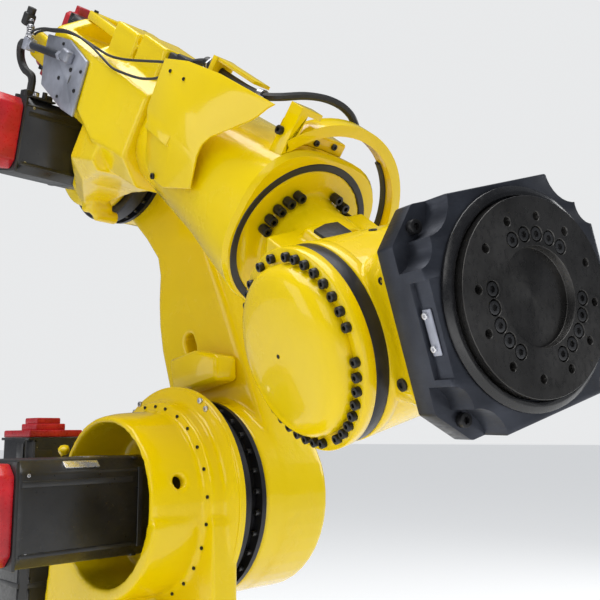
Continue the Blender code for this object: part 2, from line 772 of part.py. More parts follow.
# Forearm: tapers out from the elbow and ends in a face with a squared top round the wrist disc.
def forearmRings(sections, grown):
    return [roundedRing(x, elbowRise, side + grown, up + grown, down + grown, topPower, bellyPower)
            for x, side, up, down in sections]


forearm = loft("forearm_casting", elbowAxis, forearmRings(forearmSections, 0),
               finish("forearm_paint", yellow, 0.35))
socketCutter = rod("forearm_socket_cutter", elbowAxis, grooveRadius, discAt - socketDepth,
                   discAt + cutterReach, location=(0, 0, elbowRise), rotation=toPlusX, cutter=True)
cut(forearm, socketCutter)
# The same shape, grown by the gap: what sits on the forearm is cut to fit it.
seatSections = forearmSections[:-1] + [(discAt + cutterReach,) + forearmSections[-2][1:]]
forearmClear = loft("forearm_seat_cutter", elbowAxis, forearmRings(seatSections, gap), cutter=True)


# Sheet cover on the near side of the forearm, folded inwards along one line.
cover = slab("forearm_cover", elbowAxis, coverOutline, -coverNear - coverThick, -coverNear,
             finish("cover_paint", yellow, 0.3), rotation=toMinusY)
work = bmesh.new()
work.from_mesh(cover.data)
bmesh.ops.bisect_plane(work, geom=work.verts[:] + work.edges[:] + work.faces[:],
                       plane_co=(0, coverFold, 0), plane_no=(0, 1, 0))
for vert in work.verts:
    vert.co.z -= max(0, coverFold - vert.co.y) * coverTiltShare
work.to_mesh(cover.data)
work.free()
coverTab = box("cover_tab_guide", elbowAxis, coverTabLow, coverTabHigh, cutter=True)
unite(cover, coverTab)
cut(cover, forearmClear)

# Hoop that carries the hoses past the turning wrist: an arc from a post near the cover, with a
# shelf at the post's top, to an ear on the forearm's far side.
hoopOutline = arc((hoopCentreY, hoopCentreZ), hoopOuter, hoopStart, hoopEnd, hoopCount)
hoopOutline += arc((hoopCentreY, hoopCentreZ), hoopInner, hoopEnd, hoopStart, hoopCount)
hoop = slab("hose_hoop", elbowAxis, hoopOutline, hoopBack, hoopFront,
            finish("hoop_paint", yellow, 0.35), rotation=acrossX)
hoopGuides = [("post", (postNear, postFoot), (postFar, postTop)),
              ("shelf", (postNear, postTop - shelfThick), (shelfFar, postTop)),
              ("ear", (earNear, earLow), (earFar, earHigh)),
              ("tab", (tabNear, tabLow), (tabFar, tabHigh))]
for label, low, high in hoopGuides:
    hoopGuide = box("hoop_%s_guide" % label, elbowAxis, (hoopBack + hoopSeam,) + low,
                    (hoopFront - hoopSeam,) + high, cutter=True)
    unite(hoop, hoopGuide)
cut(hoop, forearmClear)

# Hose brackets on top of the forearm, the front one close behind the hoop.
frontBracket = box("front_hose_bracket", elbowAxis,
                   (hoopBack - gap - frontBracketLength, frontBracketNear, frontBracketTop - bracketSink),
                   (hoopBack - gap, frontBracketFar, frontBracketTop),
                   finish("front_bracket_paint", yellow, 0.35))
soften(frontBracket, bracketEdge, 1)
cut(frontBracket, forearmClear)
# The rear one is an upright plate with a hole for the hose and a long shelf over it.
rearBracket = box("rear_hose_bracket", elbowAxis,
                  (rearBracketX[0], rearBracketNear, rearBracketTop - bracketSink),
                  (rearBracketX[1], rearBracketFar, rearBracketTop),
                  finish("rear_bracket_paint", yellow, 0.35))
rearShelf = box("rear_bracket_shelf_guide", elbowAxis,
                (rearBracketX[1] - bracketEdge, rearBracketNear + bracketEdge,
                 rearBracketTop - rearShelfThick),
                (rearShelfEnd, rearBracketFar - bracketEdge, rearBracketTop), cutter=True)
unite(rearBracket, rearShelf)
hoseHole = rod("rear_bracket_hose_cutter", elbowAxis, hoseHoleRadius, rearBracketX[0] - cutterReach,
               rearBracketX[1] + cutterReach, location=(0, hoseHoleY, hoseHoleZ), rotation=toPlusX,
               steps=smallSteps, cutter=True)
cut(rearBracket, hoseHole)
cut(rearBracket, forearmClear)


# Wrist neck: the roll disc, the round neck and the near-side arm that holds the bend drive's rim.
neck = turned("wrist_neck", rollAxis,
              [(0, neckFront), (neckRadius, neckFront), (neckRadius, -discBack + neckFlareLength),
               (neckRadius + neckFlare, -discBack), (discRadius, -discBack),
               (discRadius, -discBack - discThick), (discRadius - discStep, -discBack - discThick),
               (discRadius - discStep, -discBack - socketDepth + gap),
               (0, -discBack - socketDepth + gap)],
              finish("neck_paint", yellow, 0.35), rotation=toPlusX)
neckArm = loft("neck_arm_guide", rollAxis,
               [[(back, -out, half), (front, -out, half), (front, -out, -half), (back, -out, -half)]
                for out, back, front, half in armSections], cutter=True)
unite(neck, neckArm)
drumClear = rod("neck_drum_cutter", rollAxis, drumRadius + runningGap, -drumCutterReach, bandEnd + gap,
                rotation=toMinusY, cutter=True)
cut(neck, drumClear)
rimGuide = rod("neck_rim_guide", rollAxis, drumRadius, bandEnd + gap, rimEnd, rotation=toMinusY,
               cutter=True)
unite(neck, rimGuide)

turned("bend_cover", rollAxis,
       [(0, domeTop)] + domeProfile + [(domeFoot, rimEnd + gap), (0, rimEnd + gap)],
       finish("bend_cover_paint", yellow, 0.3), rotation=toMinusY)

# Bend drive band, the drum behind it and the casting that carries the tool block.
rod("bend_reducer_band", bendAxis, drumRadius - bandInset, bandStart + gap, bandEnd - gap,
    finish("band_steel", black, 0.4, 0.5), rotation=toMinusY)
head = rod("wrist_head", bendAxis, drumRadius, -drumFar, bandStart,
           finish("head_paint", yellow, 0.35), rotation=toMinusY)
headLoft = loft("head_front_guide", bendAxis,
                [roundedRing(x, 0, halfY, halfZ, halfZ, power, power)
                 for x, halfY, halfZ, power in headSections], cutter=True)
unite(head, headLoft)

# Tool block: a square plate with hollowed corners, a seal ring and the tool flange.
blockOutline = [(blockHalfY, blockHalfZ - blockCorner), (blockHalfY - blockCorner, blockHalfZ),
                (-blockHalfY + blockCorner, blockHalfZ), (-blockHalfY, blockHalfZ - blockCorner),
                (-blockHalfY, -blockHalfZ + blockCorner), (-blockHalfY + blockCorner, -blockHalfZ),
                (blockHalfY - blockCorner, -blockHalfZ), (blockHalfY, -blockHalfZ + blockCorner)]
block = slab("tool_block", bendAxis, blockOutline, blockBack, blockFront,
             finish("block_steel", gunmetal, 0.4, 0.7), rotation=acrossX)
soften(block, blockEdge, 2, 30)
for index, (sideY, sideZ) in enumerate(((1, 1), (-1, 1), (-1, -1), (1, -1))):
    for label, radius, y, z in (("pocket", pocketRound, pocketY, pocketZ),
                                ("scallop", smallPocketRound, smallPocketY, smallPocketZ)):
        corner = rod("block_%s_cutter_%d" % (label, index + 1), bendAxis, radius, pocketFloor,
                     blockFront + cutterReach, location=(0, sideY * y, sideZ * z), rotation=toPlusX,
                     steps=smallSteps, cutter=True)
        cut(block, corner)
slotCutter = box("block_slot_cutter", bendAxis, (slotBack, -blockHalfY - joinDepth, slotLow),
                 (blockFront + joinDepth, -blockHalfY + slotDepth, slotHigh), cutter=True)
cut(block, slotCutter)
box("block_plate", bendAxis, (plateBack, -blockHalfY + plateSink, plateLow),
    (plateFront, -blockHalfY + slotDepth - gap, plateHigh), finish("plate_alloy", alloy, 0.4, 0.8))
turned("block_seal", bendAxis,
       [(sealRadius, blockFront + sealHeight), (sealOuter, blockFront + sealStep),
        (sealOuter, blockFront + gap), (sealInner, blockFront + gap),
        (sealInner, blockFront + sealHeight)],
       finish("seal_steel", black, 0.35, 0.5), rotation=toPlusX)
flangeFoot = blockFront - flangeReach + gap
turned("tool_flange", toolAxis,
       [(0, -recessDepth), (recessRadius, -recessDepth), (recessRadius, 0), (flangeRadius, 0),
        (flangeRadius, flangeFoot), (0, flangeFoot)],
       finish("flange_steel", gunmetal, 0.4, 0.8), rotation=toPlusX)

# Pipe across the side plate with a fitting at its rear end, from which a hose loops down to a gland
# on the elbow motor and two thin cables run along the casing and in under the cover.
pipeY = casingNear - gap - sidePlateThick - gap - pipeRadius
pipeTurn = Matrix.Rotation(pipeTilt, 3, "Y")
pipeAim = pipeTurn @ Euler(toPlusX).to_matrix()
pipeStart = Vector((pipeStartX, pipeY, pipeStartZ))
rod("elbow_pipe", elbowAxis, pipeRadius, 0, pipeLength, finish("pipe_alloy", gunmetal, 0.4, 0.7),
    location=pipeStart, rotation=pipeAim.to_euler(), steps=smallSteps)
fitting = box("elbow_pipe_fitting", elbowAxis, (-gap - fittingLength, -fittingHalfWide, -fittingHalfTall),
              (-gap, fittingHalfWide, fittingHalfTall), finish("fitting_alloy", alloy, 0.35, 0.8),
              rotation=(0, pipeTilt, 0))
fitting.location = pipeStart + pipeTurn @ fitting.location
motorTop = motorFrame / 2 + gap
gland = box("elbow_hose_gland", elbowAxis, (glandLow, glandNear, motorTop),
            (glandHigh, glandFar, motorTop + glandTall), finish("gland_black", black, 0.4),
            rotation=(0, elbowMotorTurn, 0))
gland.location = Vector((elbowMotorX, 0, elbowMotorZ)) + roomTurn @ gland.location
cord("elbow_hose", elbowAxis, smoothPath(elbowHoseKnots, hoseSteps), elbowHoseRadius,
     finish("elbow_hose_rubber", black, 0.5))
for index, knots in enumerate(cableKnots):
    cord("elbow_cable_%d" % (index + 1), elbowAxis, smoothPath(knots, cableSteps), cableRadius,
         finish("cable_rubber_%d" % (index + 1), black, 0.5))

# Hose over the forearm, whole from the casing's fitting to the hoop.
cord("top_hose", elbowAxis, smoothPath(hoseKnots, hoseSteps), hoseRadius,
     finish("hose_rubber", black, 0.55))
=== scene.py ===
import json
import math

import bmesh
import bpy
from mathutils import Matrix, Vector


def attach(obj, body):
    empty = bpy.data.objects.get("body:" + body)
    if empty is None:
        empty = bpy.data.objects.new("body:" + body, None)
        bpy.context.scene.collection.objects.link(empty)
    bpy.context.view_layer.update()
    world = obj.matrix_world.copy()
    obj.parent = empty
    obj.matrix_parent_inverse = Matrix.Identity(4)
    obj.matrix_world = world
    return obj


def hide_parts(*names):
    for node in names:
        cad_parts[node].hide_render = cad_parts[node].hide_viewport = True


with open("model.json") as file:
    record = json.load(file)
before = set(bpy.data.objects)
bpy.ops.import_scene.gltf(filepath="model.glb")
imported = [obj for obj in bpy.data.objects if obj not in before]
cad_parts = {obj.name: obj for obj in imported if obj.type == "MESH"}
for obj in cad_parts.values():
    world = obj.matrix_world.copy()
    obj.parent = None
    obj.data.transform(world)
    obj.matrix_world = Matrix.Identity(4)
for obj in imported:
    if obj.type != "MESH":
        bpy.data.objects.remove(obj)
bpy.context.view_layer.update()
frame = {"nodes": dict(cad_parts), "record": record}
nodes = frame["nodes"]
scene = bpy.context.scene
print("frame loaded")

# Joint frames of the arm at rest, the same numbers as the solids are drawn with.
shoulderAt = Vector((0.37, 0, 0.94))
lean = math.radians(-23.65)
lowerArmLength = 1.0175
pitch = math.radians(38.85)
elbowRise = 0.2
forearmLength = 1.25
wristRoll = math.radians(22.42)
wristBend = math.radians(39.6)
flangeReach = 0.2812
fullTurn = math.tau
gap = 0.0003


def turnX(angle):
    return Matrix.Rotation(angle, 4, "X")


def turnY(angle):
    return Matrix.Rotation(angle, 4, "Y")


def turnZ(angle):
    return Matrix.Rotation(angle, 4, "Z")


def shift(x, y, z):
    return Matrix.Translation((x, y, z))


inPlace = Matrix.Identity(4)
turnFrame = inPlace
housingFrame = Matrix.Translation(shoulderAt)
shoulderFrame = housingFrame @ turnY(lean)
elbowFrame = shoulderFrame @ shift(0, 0, lowerArmLength) @ turnY(pitch - lean)
rollFrame = elbowFrame @ shift(forearmLength, 0, elbowRise) @ turnX(wristRoll)
bendFrame = rollFrame @ turnY(-wristBend)
toolFrame = bendFrame @ shift(flangeReach, 0, 0)


# Materials: all procedural, in object coordinates.
def newMaterial(name, colour, roughness, metallic=0.0):
    made = bpy.data.materials.new(name)
    made.use_nodes = True
    shader = made.node_tree.nodes["Principled BSDF"]
    shader.inputs["Base Color"].default_value = (colour[0], colour[1], colour[2], 1)
    shader.inputs["Roughness"].default_value = roughness
    shader.inputs["Metallic"].default_value = metallic
    return made, made.node_tree, shader


def noiseNode(tree, scale, detail=4.0, roughness=0.55, stretch=None):
    place = tree.nodes.new("ShaderNodeTexCoord")
    noise = tree.nodes.new("ShaderNodeTexNoise")
    noise.inputs["Scale"].default_value = scale
    noise.inputs["Detail"].default_value = detail
    noise.inputs["Roughness"].default_value = roughness
    source = place.outputs["Object"]
    if stretch:
        mapping = tree.nodes.new("ShaderNodeMapping")
        mapping.inputs["Scale"].default_value = stretch
        tree.links.new(source, mapping.inputs["Vector"])
        source = mapping.outputs["Vector"]
    tree.links.new(source, noise.inputs["Vector"])
    return noise


def rampNode(tree, source, low, high, first, second):
    ramp = tree.nodes.new("ShaderNodeMapRange")
    ramp.inputs["From Min"].default_value = low
    ramp.inputs["From Max"].default_value = high
    ramp.inputs["To Min"].default_value = first
    ramp.inputs["To Max"].default_value = second
    tree.links.new(source, ramp.inputs["Value"])
    return ramp.outputs["Result"]


def mixColours(tree, factor, first, second):
    mix = tree.nodes.new("ShaderNodeMix")
    mix.data_type = "RGBA"
    for index, value in ((6, first), (7, second)):
        if hasattr(value, "default_value"):
            tree.links.new(value, mix.inputs[index])
        else:
            mix.inputs[index].default_value = (value[0], value[1], value[2], 1)
    tree.links.new(factor, mix.inputs[0])
    return mix.outputs[2]


def addBumps(tree, shader, layers):
    # Layers of (height socket, strength, distance), each bump feeding the next.
    before = None
    for height, strength, distance in layers:
        bump = tree.nodes.new("ShaderNodeBump")
        bump.inputs["Strength"].default_value = strength
        bump.inputs["Distance"].default_value = distance
        tree.links.new(height, bump.inputs["Height"])
        if before:
            tree.links.new(before.outputs["Normal"], bump.inputs["Normal"])
        before = bump
    tree.links.new(before.outputs["Normal"], shader.inputs["Normal"])


enamel = {"drift": 2.3, "grime": 38.0, "speckShare": 0.22, "scuff": 9.0, "peel": 260.0, "peelDepth": 0.001,
          "specular": 0.18, "coat": 0.4, "coatGloss": 0.05}


def paintMaterial(name, colour, deep, castScale, castDepth, gloss):
    # Thick enamel: a slow drift of tone, fine specks, an orange-peel skin and the casting under it.
    made, tree, shader = newMaterial(name, colour, gloss)
    drift = noiseNode(tree, enamel["drift"], 5)
    tone = rampNode(tree, drift.outputs["Fac"], 0.38, 0.66, 0.0, 1.0)
    grime = noiseNode(tree, enamel["grime"], 8, 0.7)
    specks = rampNode(tree, grime.outputs["Fac"], 0.66, 0.74, 0.0, enamel["speckShare"])
    base = mixColours(tree, tone, colour, deep)
    dark = (deep[0] * 0.62, deep[1] * 0.6, deep[2] + 0.004)
    tree.links.new(mixColours(tree, specks, base, dark), shader.inputs["Base Color"])
    scuff = noiseNode(tree, enamel["scuff"], 7, 0.65)
    tree.links.new(rampNode(tree, scuff.outputs["Fac"], 0.35, 0.75, gloss - 0.05, gloss + 0.13),
                   shader.inputs["Roughness"])
    shader.inputs["Specular IOR Level"].default_value = enamel["specular"]
    shader.inputs["Coat Weight"].default_value = enamel["coat"]
    shader.inputs["Coat Roughness"].default_value = enamel["coatGloss"]
    peel = noiseNode(tree, enamel["peel"], 2)
    cast = noiseNode(tree, castScale, 5, 0.6)
    addBumps(tree, shader, [(cast.outputs["Fac"], 0.35, castDepth),
                            (peel.outputs["Fac"], 0.12, enamel["peelDepth"])])
    return made


def turnedSheen(made, amount):
    # Lathe marks round the X side of the piece, as a radial sheen.
    tree = made.node_tree
    shader = tree.nodes["Principled BSDF"]
    around = tree.nodes.new("ShaderNodeTangent")
    around.direction_type = "RADIAL"
    around.axis = "X"
    shader.inputs["Anisotropic"].default_value = amount
    tree.links.new(around.outputs["Tangent"], shader.inputs["Tangent"])


def steelMaterial(name, colour, roughness, grain, stretch, metallic, depth=0.0006):
    # Machined or coated metal: clouded tone and the tool's fine marks in roughness and bump.
    made, tree, shader = newMaterial(name, colour, roughness, metallic)
    marks = noiseNode(tree, grain, 6, 0.6, stretch)
    cloud = noiseNode(tree, 14.0, 5)
    bright = tuple(min(1.0, value * 1.35 + 0.004) for value in colour)
    faint = tuple(value * 0.72 for value in colour)
    tree.links.new(mixColours(tree, rampNode(tree, cloud.outputs["Fac"], 0.35, 0.7, 0, 1), faint, bright),
                   shader.inputs["Base Color"])
    tree.links.new(rampNode(tree, marks.outputs["Fac"], 0.3, 0.7, roughness - 0.08, roughness + 0.12),
                   shader.inputs["Roughness"])
    addBumps(tree, shader, [(marks.outputs["Fac"], 0.25, depth)])
    return made


yellow = (0.8, 0.59, 0.000)
deepYellow = (0.75, 0.525, 0.000)
castPaint = paintMaterial("castPaint", yellow, deepYellow, 24.0, 0.0035, 0.22)
sheetPaint = paintMaterial("sheetPaint", yellow, deepYellow, 7.0, 0.0015, 0.18)
motorBlack = steelMaterial("motorBlack", (0.012, 0.012, 0.013), 0.34, 120.0, (1, 1, 1), 0.0)
motorRed = steelMaterial("motorRed", (0.43, 0.008, 0.016), 0.3, 160.0, (1, 1, 1), 0.0)
boltBlack = steelMaterial("boltBlack", (0.014, 0.014, 0.015), 0.36, 300.0, (1, 1, 1), 0.3, 0.0002)
plugBlack = steelMaterial("plugBlack", (0.01, 0.01, 0.011), 0.5, 200.0, (1, 1, 1), 0.0, 0.0003)
reducerSteel = steelMaterial("reducerSteel", (0.022, 0.022, 0.026), 0.36, 90.0, (1, 8, 1), 0.6)
blockSteel = steelMaterial("blockSteel", (0.034, 0.038, 0.05), 0.38, 70.0, (1, 1, 7), 0.65)
flangeSteel = steelMaterial("flangeSteel", (0.062, 0.06, 0.058), 0.3, 110.0, (6, 1, 1), 0.85, 0.0002)
turnedSheen(flangeSteel, 0.75)
sealBlack = steelMaterial("sealBlack", (0.006, 0.006, 0.007), 0.2, 160.0, (1, 1, 1), 0.0, 0.0002)
boltSteel = steelMaterial("boltSteel", (0.06, 0.06, 0.062), 0.3, 300.0, (1, 1, 1), 0.8, 0.0002)
alloy = steelMaterial("alloyPlate", (0.31, 0.325, 0.38), 0.42, 60.0, (9, 1, 1), 0.55)
brightSteel = steelMaterial("brightSteel", (0.56, 0.56, 0.58), 0.26, 140.0, (1, 1, 1), 0.9, 0.0003)
hoseRubber = steelMaterial("hoseRubber", (0.013, 0.013, 0.014), 0.5, 220.0, (1, 1, 1), 0.0)
slotMaterials = {"cast_paint": castPaint, "sheet_paint": sheetPaint, "motor_black": motorBlack,
                 "motor_red": motorRed, "reducer_steel": reducerSteel, "block_steel": blockSteel,
                 "flange_steel": flangeSteel, "alloy": alloy, "hose_rubber": hoseRubber}
slotOf = {}
bodyOf = {}
for row in frame["record"]["subparts"]:
    slotOf[row["node"]] = row["material_slot"]
    for materialSlot in nodes[row["node"]].material_slots:
        materialSlot.material = slotMaterials[row["material_slot"]]
for body, members in frame["record"]["behaviour"]["bodies"].items():
    for member in members:
        bodyOf[member] = body
slotFor = {material.name: name for name, material in slotMaterials.items()}
slotFor[plugBlack.name] = slotFor[boltBlack.name] = slotFor[boltSteel.name] = "motor_black"
slotFor[brightSteel.name] = "alloy"
slotFor[sealBlack.name] = slotOf["block_seal"]
print("materials made")


# Making of pieces: shapes are built in a joint's frame and baked in place.
def meshOf(work, name):
    mesh = bpy.data.meshes.new(name)
    work.to_mesh(mesh)
    work.free()
    return mesh


def bake(work, name, body, material, place=inPlace, sharpAngle=32.0, replaced=()):
    bmesh.ops.transform(work, matrix=place, verts=work.verts)
    mesh = meshOf(work, name)
    mesh.materials.append(material)
    mesh.polygons.foreach_set("use_smooth", [True] * len(mesh.polygons))
    if sharpAngle:
        mesh.set_sharp_from_angle(angle=math.radians(sharpAngle))
    piece = bpy.data.objects.new(name, mesh)
    scene.collection.objects.link(piece)
    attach(piece, body)
    if replaced:
        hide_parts(*replaced)
    return piece


def solidOf(node):
    # The node's solid, in the row frame, with its triangles joined back into flat faces.
    work = bmesh.new()
    work.from_mesh(nodes[node].data)
    bmesh.ops.remove_doubles(work, verts=work.verts, dist=0.00001)
    bmesh.ops.dissolve_limit(work, angle_limit=math.radians(0.6), verts=work.verts, edges=work.edges)
    return work


def sharpEdges(work, angle):
    limit = math.radians(angle)
    return [edge for edge in work.edges if edge.is_manifold and edge.calc_face_angle() > limit]


def roundOff(work, edges, width, segments):
    bmesh.ops.bevel(work, geom=edges, offset=width, offset_type="OFFSET", segments=segments, profile=0.5,
                    affect="EDGES", clamp_overlap=True, material=-1)


def softenEdges(work, width, segments=2, angle=30):
    roundOff(work, sharpEdges(work, angle), width, segments)


def dressNode(node, width, segments=2, name=None, sharpAngle=32.0):
    # A CAD solid as it is, with its edges broken and its curved faces smooth.
    work = solidOf(node)
    if width:
        softenEdges(work, width, segments)
    return bake(work, name or node + ".dressed", bodyOf[node], slotMaterials[slotOf[node]], inPlace,
                sharpAngle, (node,))


def pour(work, part, place):
    # Adds a shape that was made by itself to the work, at its place.
    bmesh.ops.transform(part, matrix=place, verts=part.verts)
    mesh = meshOf(part, "part")
    work.from_mesh(mesh)
    bpy.data.meshes.remove(mesh)


def addBox(work, low, high, place=inPlace, bevel=0.0, segments=2):
    part = bmesh.new()
    bmesh.ops.create_cube(part, size=1.0)
    bmesh.ops.scale(part, vec=[high[i] - low[i] for i in range(3)], verts=part.verts)
    if bevel:
        roundOff(part, part.edges[:], bevel, segments)
    pour(work, part, place @ Matrix.Translation([(high[i] + low[i]) / 2 for i in range(3)]))


def addRod(work, radius, low, high, place=inPlace, steps=32, topRadius=None, bevel=0.0):
    # A cylinder or cone along the local Z of its place.
    part = bmesh.new()
    bmesh.ops.create_cone(part, cap_ends=True, segments=steps, radius1=radius,
                          radius2=radius if topRadius is None else topRadius, depth=high - low)
    if bevel:
        rims = [edge for edge in part.edges if any(len(face.verts) > 4 for face in edge.link_faces)]
        roundOff(part, rims, bevel, 2)
    pour(work, part, place @ shift(0, 0, (high + low) / 2))


def addTurned(work, profile, place=inPlace, steps=64):
    # A profile of (radius, height), closed by itself or by the axis, spun about the place's Z.
    part = bmesh.new()
    points = [part.verts.new((radius, 0, height)) for radius, height in profile]
    edges = [part.edges.new(pair) for pair in zip(points, points[1:])]
    if profile[0][0] > 0:
        edges.append(part.edges.new((points[-1], points[0])))
    bmesh.ops.spin(part, geom=points + edges, angle=fullTurn, steps=steps, axis=(0, 0, 1),
                   cent=(0, 0, 0), use_merge=True)
    bmesh.ops.remove_doubles(part, verts=part.verts, dist=0.00001)
    bmesh.ops.recalc_face_normals(part, faces=part.faces)
    pour(work, part, place)


def addSlab(work, outline, low, high, place=inPlace, bevel=0.0, segments=2):
    # A flat outline in the local XY plane, extruded from low to high along local Z.
    part = bmesh.new()
    face = part.faces.new([part.verts.new((x, y, low)) for x, y in outline])
    made = bmesh.ops.extrude_face_region(part, geom=[face])
    raised = [item for item in made["geom"] if isinstance(item, bmesh.types.BMVert)]
    bmesh.ops.translate(part, vec=(0, 0, high - low), verts=raised)
    bmesh.ops.recalc_face_normals(part, faces=part.faces)
    if bevel:
        softenEdges(part, bevel, segments)
    pour(work, part, place)


def aimed(at, direction):
    return Matrix.Translation(at) @ Vector(direction).to_track_quat("Z", "Y").to_matrix().to_4x4()


def socketScrew(socketShare=0.46, depthShare=0.55):
    # Cap screw head of unit size on its seat along +Z: broken edge and a hexagonal socket.
    work = bmesh.new()
    addRod(work, 1, 0, 1, steps=24, bevel=0.1)
    top = max((face for face in work.faces if len(face.verts) > 4),
              key=lambda face: face.calc_center_median().z)
    sector = fullTurn / 6
    bmesh.ops.inset_individual(work, faces=[top], thickness=0.9 - socketShare / math.cos(sector / 2),
                               use_even_offset=True)
    for vert in top.verts:
        turn = math.atan2(vert.co.y, vert.co.x) % sector - sector / 2
        reach = socketShare / math.cos(turn) / math.hypot(vert.co.x, vert.co.y)
        vert.co.x *= reach
        vert.co.y *= reach
    bmesh.ops.inset_individual(work, faces=[top], thickness=0.02, depth=-depthShare, use_even_offset=True)
    return meshOf(work, "socketScrewPattern")


def hexBolt(washer=0.18):
    # Hexagonal head of unit size on a round washer, along +Z from its seat.
    work = bmesh.new()
    addRod(work, 1, 0, washer, steps=28, bevel=washer * 0.25)
    addRod(work, 0.72, washer, 1, steps=6, bevel=0.05)
    return meshOf(work, "hexBoltPattern")


def addCopies(work, pattern, places):
    for place in places:
        copy = pattern.copy()
        copy.transform(place)
        work.from_mesh(copy)
        bpy.data.meshes.remove(copy)


def screwAt(at, facing, radius, height):
    return aimed(at, facing) @ Matrix.Diagonal((radius, radius, height, 1))


def screwRow(name, places, body, place, material=boltBlack, pattern=None):
    work = bmesh.new()
    addCopies(work, pattern or screw, places)
    return bake(work, name, body, material, place)


def ringSpots(radius, angles, along, facing=-1):
    # Places on a circle about the local Y axis, at angles from +X towards +Z.
    spots = []
    for angle in angles:
        turn = math.radians(angle)
        spots.append(((radius * math.cos(turn), along, radius * math.sin(turn)), (0, facing, 0)))
    return spots


def closedBy(first, count):
    return [first + 360 / count * index for index in range(count)]


def solidObject(work, name):
    holder = bpy.data.objects.new(name, meshOf(work, name))
    scene.collection.objects.link(holder)
    return holder


def shapedBy(holder, others):
    # The modifiers' result as a new bmesh, once the objects they needed are gone.
    bpy.context.view_layer.update()
    result = bpy.data.meshes.new_from_object(holder.evaluated_get(bpy.context.evaluated_depsgraph_get()))
    for item in [holder] + others:
        bpy.data.objects.remove(item, do_unlink=True)
    work = bmesh.new()
    work.from_mesh(result)
    return work


def takeAway(holder, cut, name):
    cutters = bmesh.new()
    cut(cutters)
    tool = solidObject(cutters, name)
    step = holder.modifiers.new("cut", "BOOLEAN")
    step.operation = "DIFFERENCE"
    step.solver = "EXACT"
    step.object = tool
    return tool


def carve(work, cut):
    holder = solidObject(work, "carved")
    return shapedBy(holder, [takeAway(holder, cut, "cutters")])


# Voxel size and smoothing passes of each cast skin.
skins = {"base_casting": (0.007, 4), "turntable_casting": (0.0058, 3), "lower_arm": (0.0053, 4),
         "elbow_casting": (0.0042, 3), "wrist_neck": (0.0029, 10), "wrist_head": (0.003, 5)}


def castSkin(node, grow, cuts=()):
    # A casting: the solid and what is cast on to it, remeshed as one and smoothed, so that edges
    # and corners come out rounded and filleted.
    voxel, passes = skins[node]
    work = solidOf(node)
    grow(work)
    holder = solidObject(work, node + "Rough")
    tools = []

    def remesh():
        step = holder.modifiers.new("remesh", "REMESH")
        step.mode = "VOXEL"
        step.voxel_size = voxel

    remesh()
    for index, cut in enumerate(cuts):
        tools.append(takeAway(holder, cut, f"{node}Cutters{index}"))
    if cuts:
        remesh()
    smooth = holder.modifiers.new("smooth", "SMOOTH")
    smooth.factor = 0.5
    smooth.iterations = passes
    return bake(shapedBy(holder, tools), node + ".skin", bodyOf[node], slotMaterials[slotOf[node]], inPlace,
                0, (node,))


screw = socketScrew()
hexHead = hexBolt()
wristAxis = shift(0, 0, elbowRise) @ turnY(math.radians(90))
facingFar = turnX(math.radians(-90))
elbowMotor = elbowFrame @ shift(0.032, 0, -0.04) @ turnY(math.radians(-23.85))

# Base: casting with lifting bosses, floor anchors and the connector panel.
anchors = {"x": (-0.345, 0.345), "y": (-0.315, 0.315), "seat": 0.055, "radius": 0.026, "tall": 0.03,
           "padShare": 1.7, "padLow": 0.01}
liftingBoss = {"y": 0.315, "z": 0.215, "radius": 0.03, "reach": 0.02, "rise": 0.1}
panel = {"face": -0.4303, "plugY": (-0.095, -0.03, 0.035), "plugZ": 0.195, "radius": 0.024,
         "reach": 0.016, "screwY": 0.136, "screwLow": 0.084, "screwHigh": 0.246, "screw": 0.0065,
         "root": 0.002, "rim": 0.004, "collar": 0.006, "cup": 0.007, "neckShare": 0.82, "mouthShare": 0.66,
         "cupShare": 0.62, "edge": 0.003,
         "blanks": ((0.01, -0.125, -0.02, 0.09, 0.15), (0.008, 0.01, 0.11, 0.09, 0.14))}
tableRing = {"radius": 0.29, "count": 24, "seat": 0.446, "head": 0.011, "tall": 0.012,
             "sideX": 0.09, "sideY": 0.14, "backX": -0.16}


def castBase(work):
    for x in anchors["x"]:
        for y in anchors["y"]:
            addRod(work, anchors["radius"] * anchors["padShare"], anchors["padLow"], anchors["seat"],
                   shift(x, y, 0), steps=40)
    for side in (-1, 1):
        spot = aimed((0, side * liftingBoss["y"], liftingBoss["z"]), (0, side, liftingBoss["rise"]))
        addRod(work, liftingBoss["radius"], 0, liftingBoss["reach"], spot, steps=36)


def makeBaseParts():
    castSkin("base_casting", castBase)
    places = []
    for x in anchors["x"]:
        for y in anchors["y"]:
            places.append(screwAt((x, y, anchors["seat"]), (0, 0, 1), anchors["radius"], anchors["tall"]))
    screwRow("base_anchors", places, "base", turnFrame, brightSteel, hexHead)
    work = solidOf("base_connector_panel")
    softenEdges(work, panel["edge"])
    bake(work, "base_panel", "base", sheetPaint, turnFrame, replaced=("base_connector_panel",))
    work = bmesh.new()
    for y in panel["plugY"]:
        spot = aimed((panel["face"], y, panel["plugZ"]), (-1, 0, 0))
        wide = panel["radius"]
        neck = wide * panel["neckShare"]
        addTurned(work, [(0, -panel["root"]), (wide, -panel["root"]), (wide, panel["rim"]),
                         (neck, panel["collar"]), (neck, panel["reach"]),
                         (wide * panel["mouthShare"], panel["reach"]),
                         (wide * panel["cupShare"], panel["cup"]), (0, panel["cup"])], spot, 40)
    for reach, near, far, low, high in panel["blanks"]:
        addBox(work, (panel["face"] - reach, near, low), (panel["face"] + panel["root"], far, high),
               bevel=panel["edge"])
    bake(work, "base_plugs", "base", plugBlack, turnFrame)
    places = []
    for y in (-panel["screwY"], panel["screwY"]):
        for z in (panel["screwLow"], panel["screwHigh"]):
            places.append(screwAt((panel["face"], y, z), (-1, 0, 0), panel["screw"], panel["screw"]))
    screwRow("base_panel_screws", places, "base", turnFrame)
    dressNode("turn_reducer", 0.001)


makeBaseParts()
print("base made")

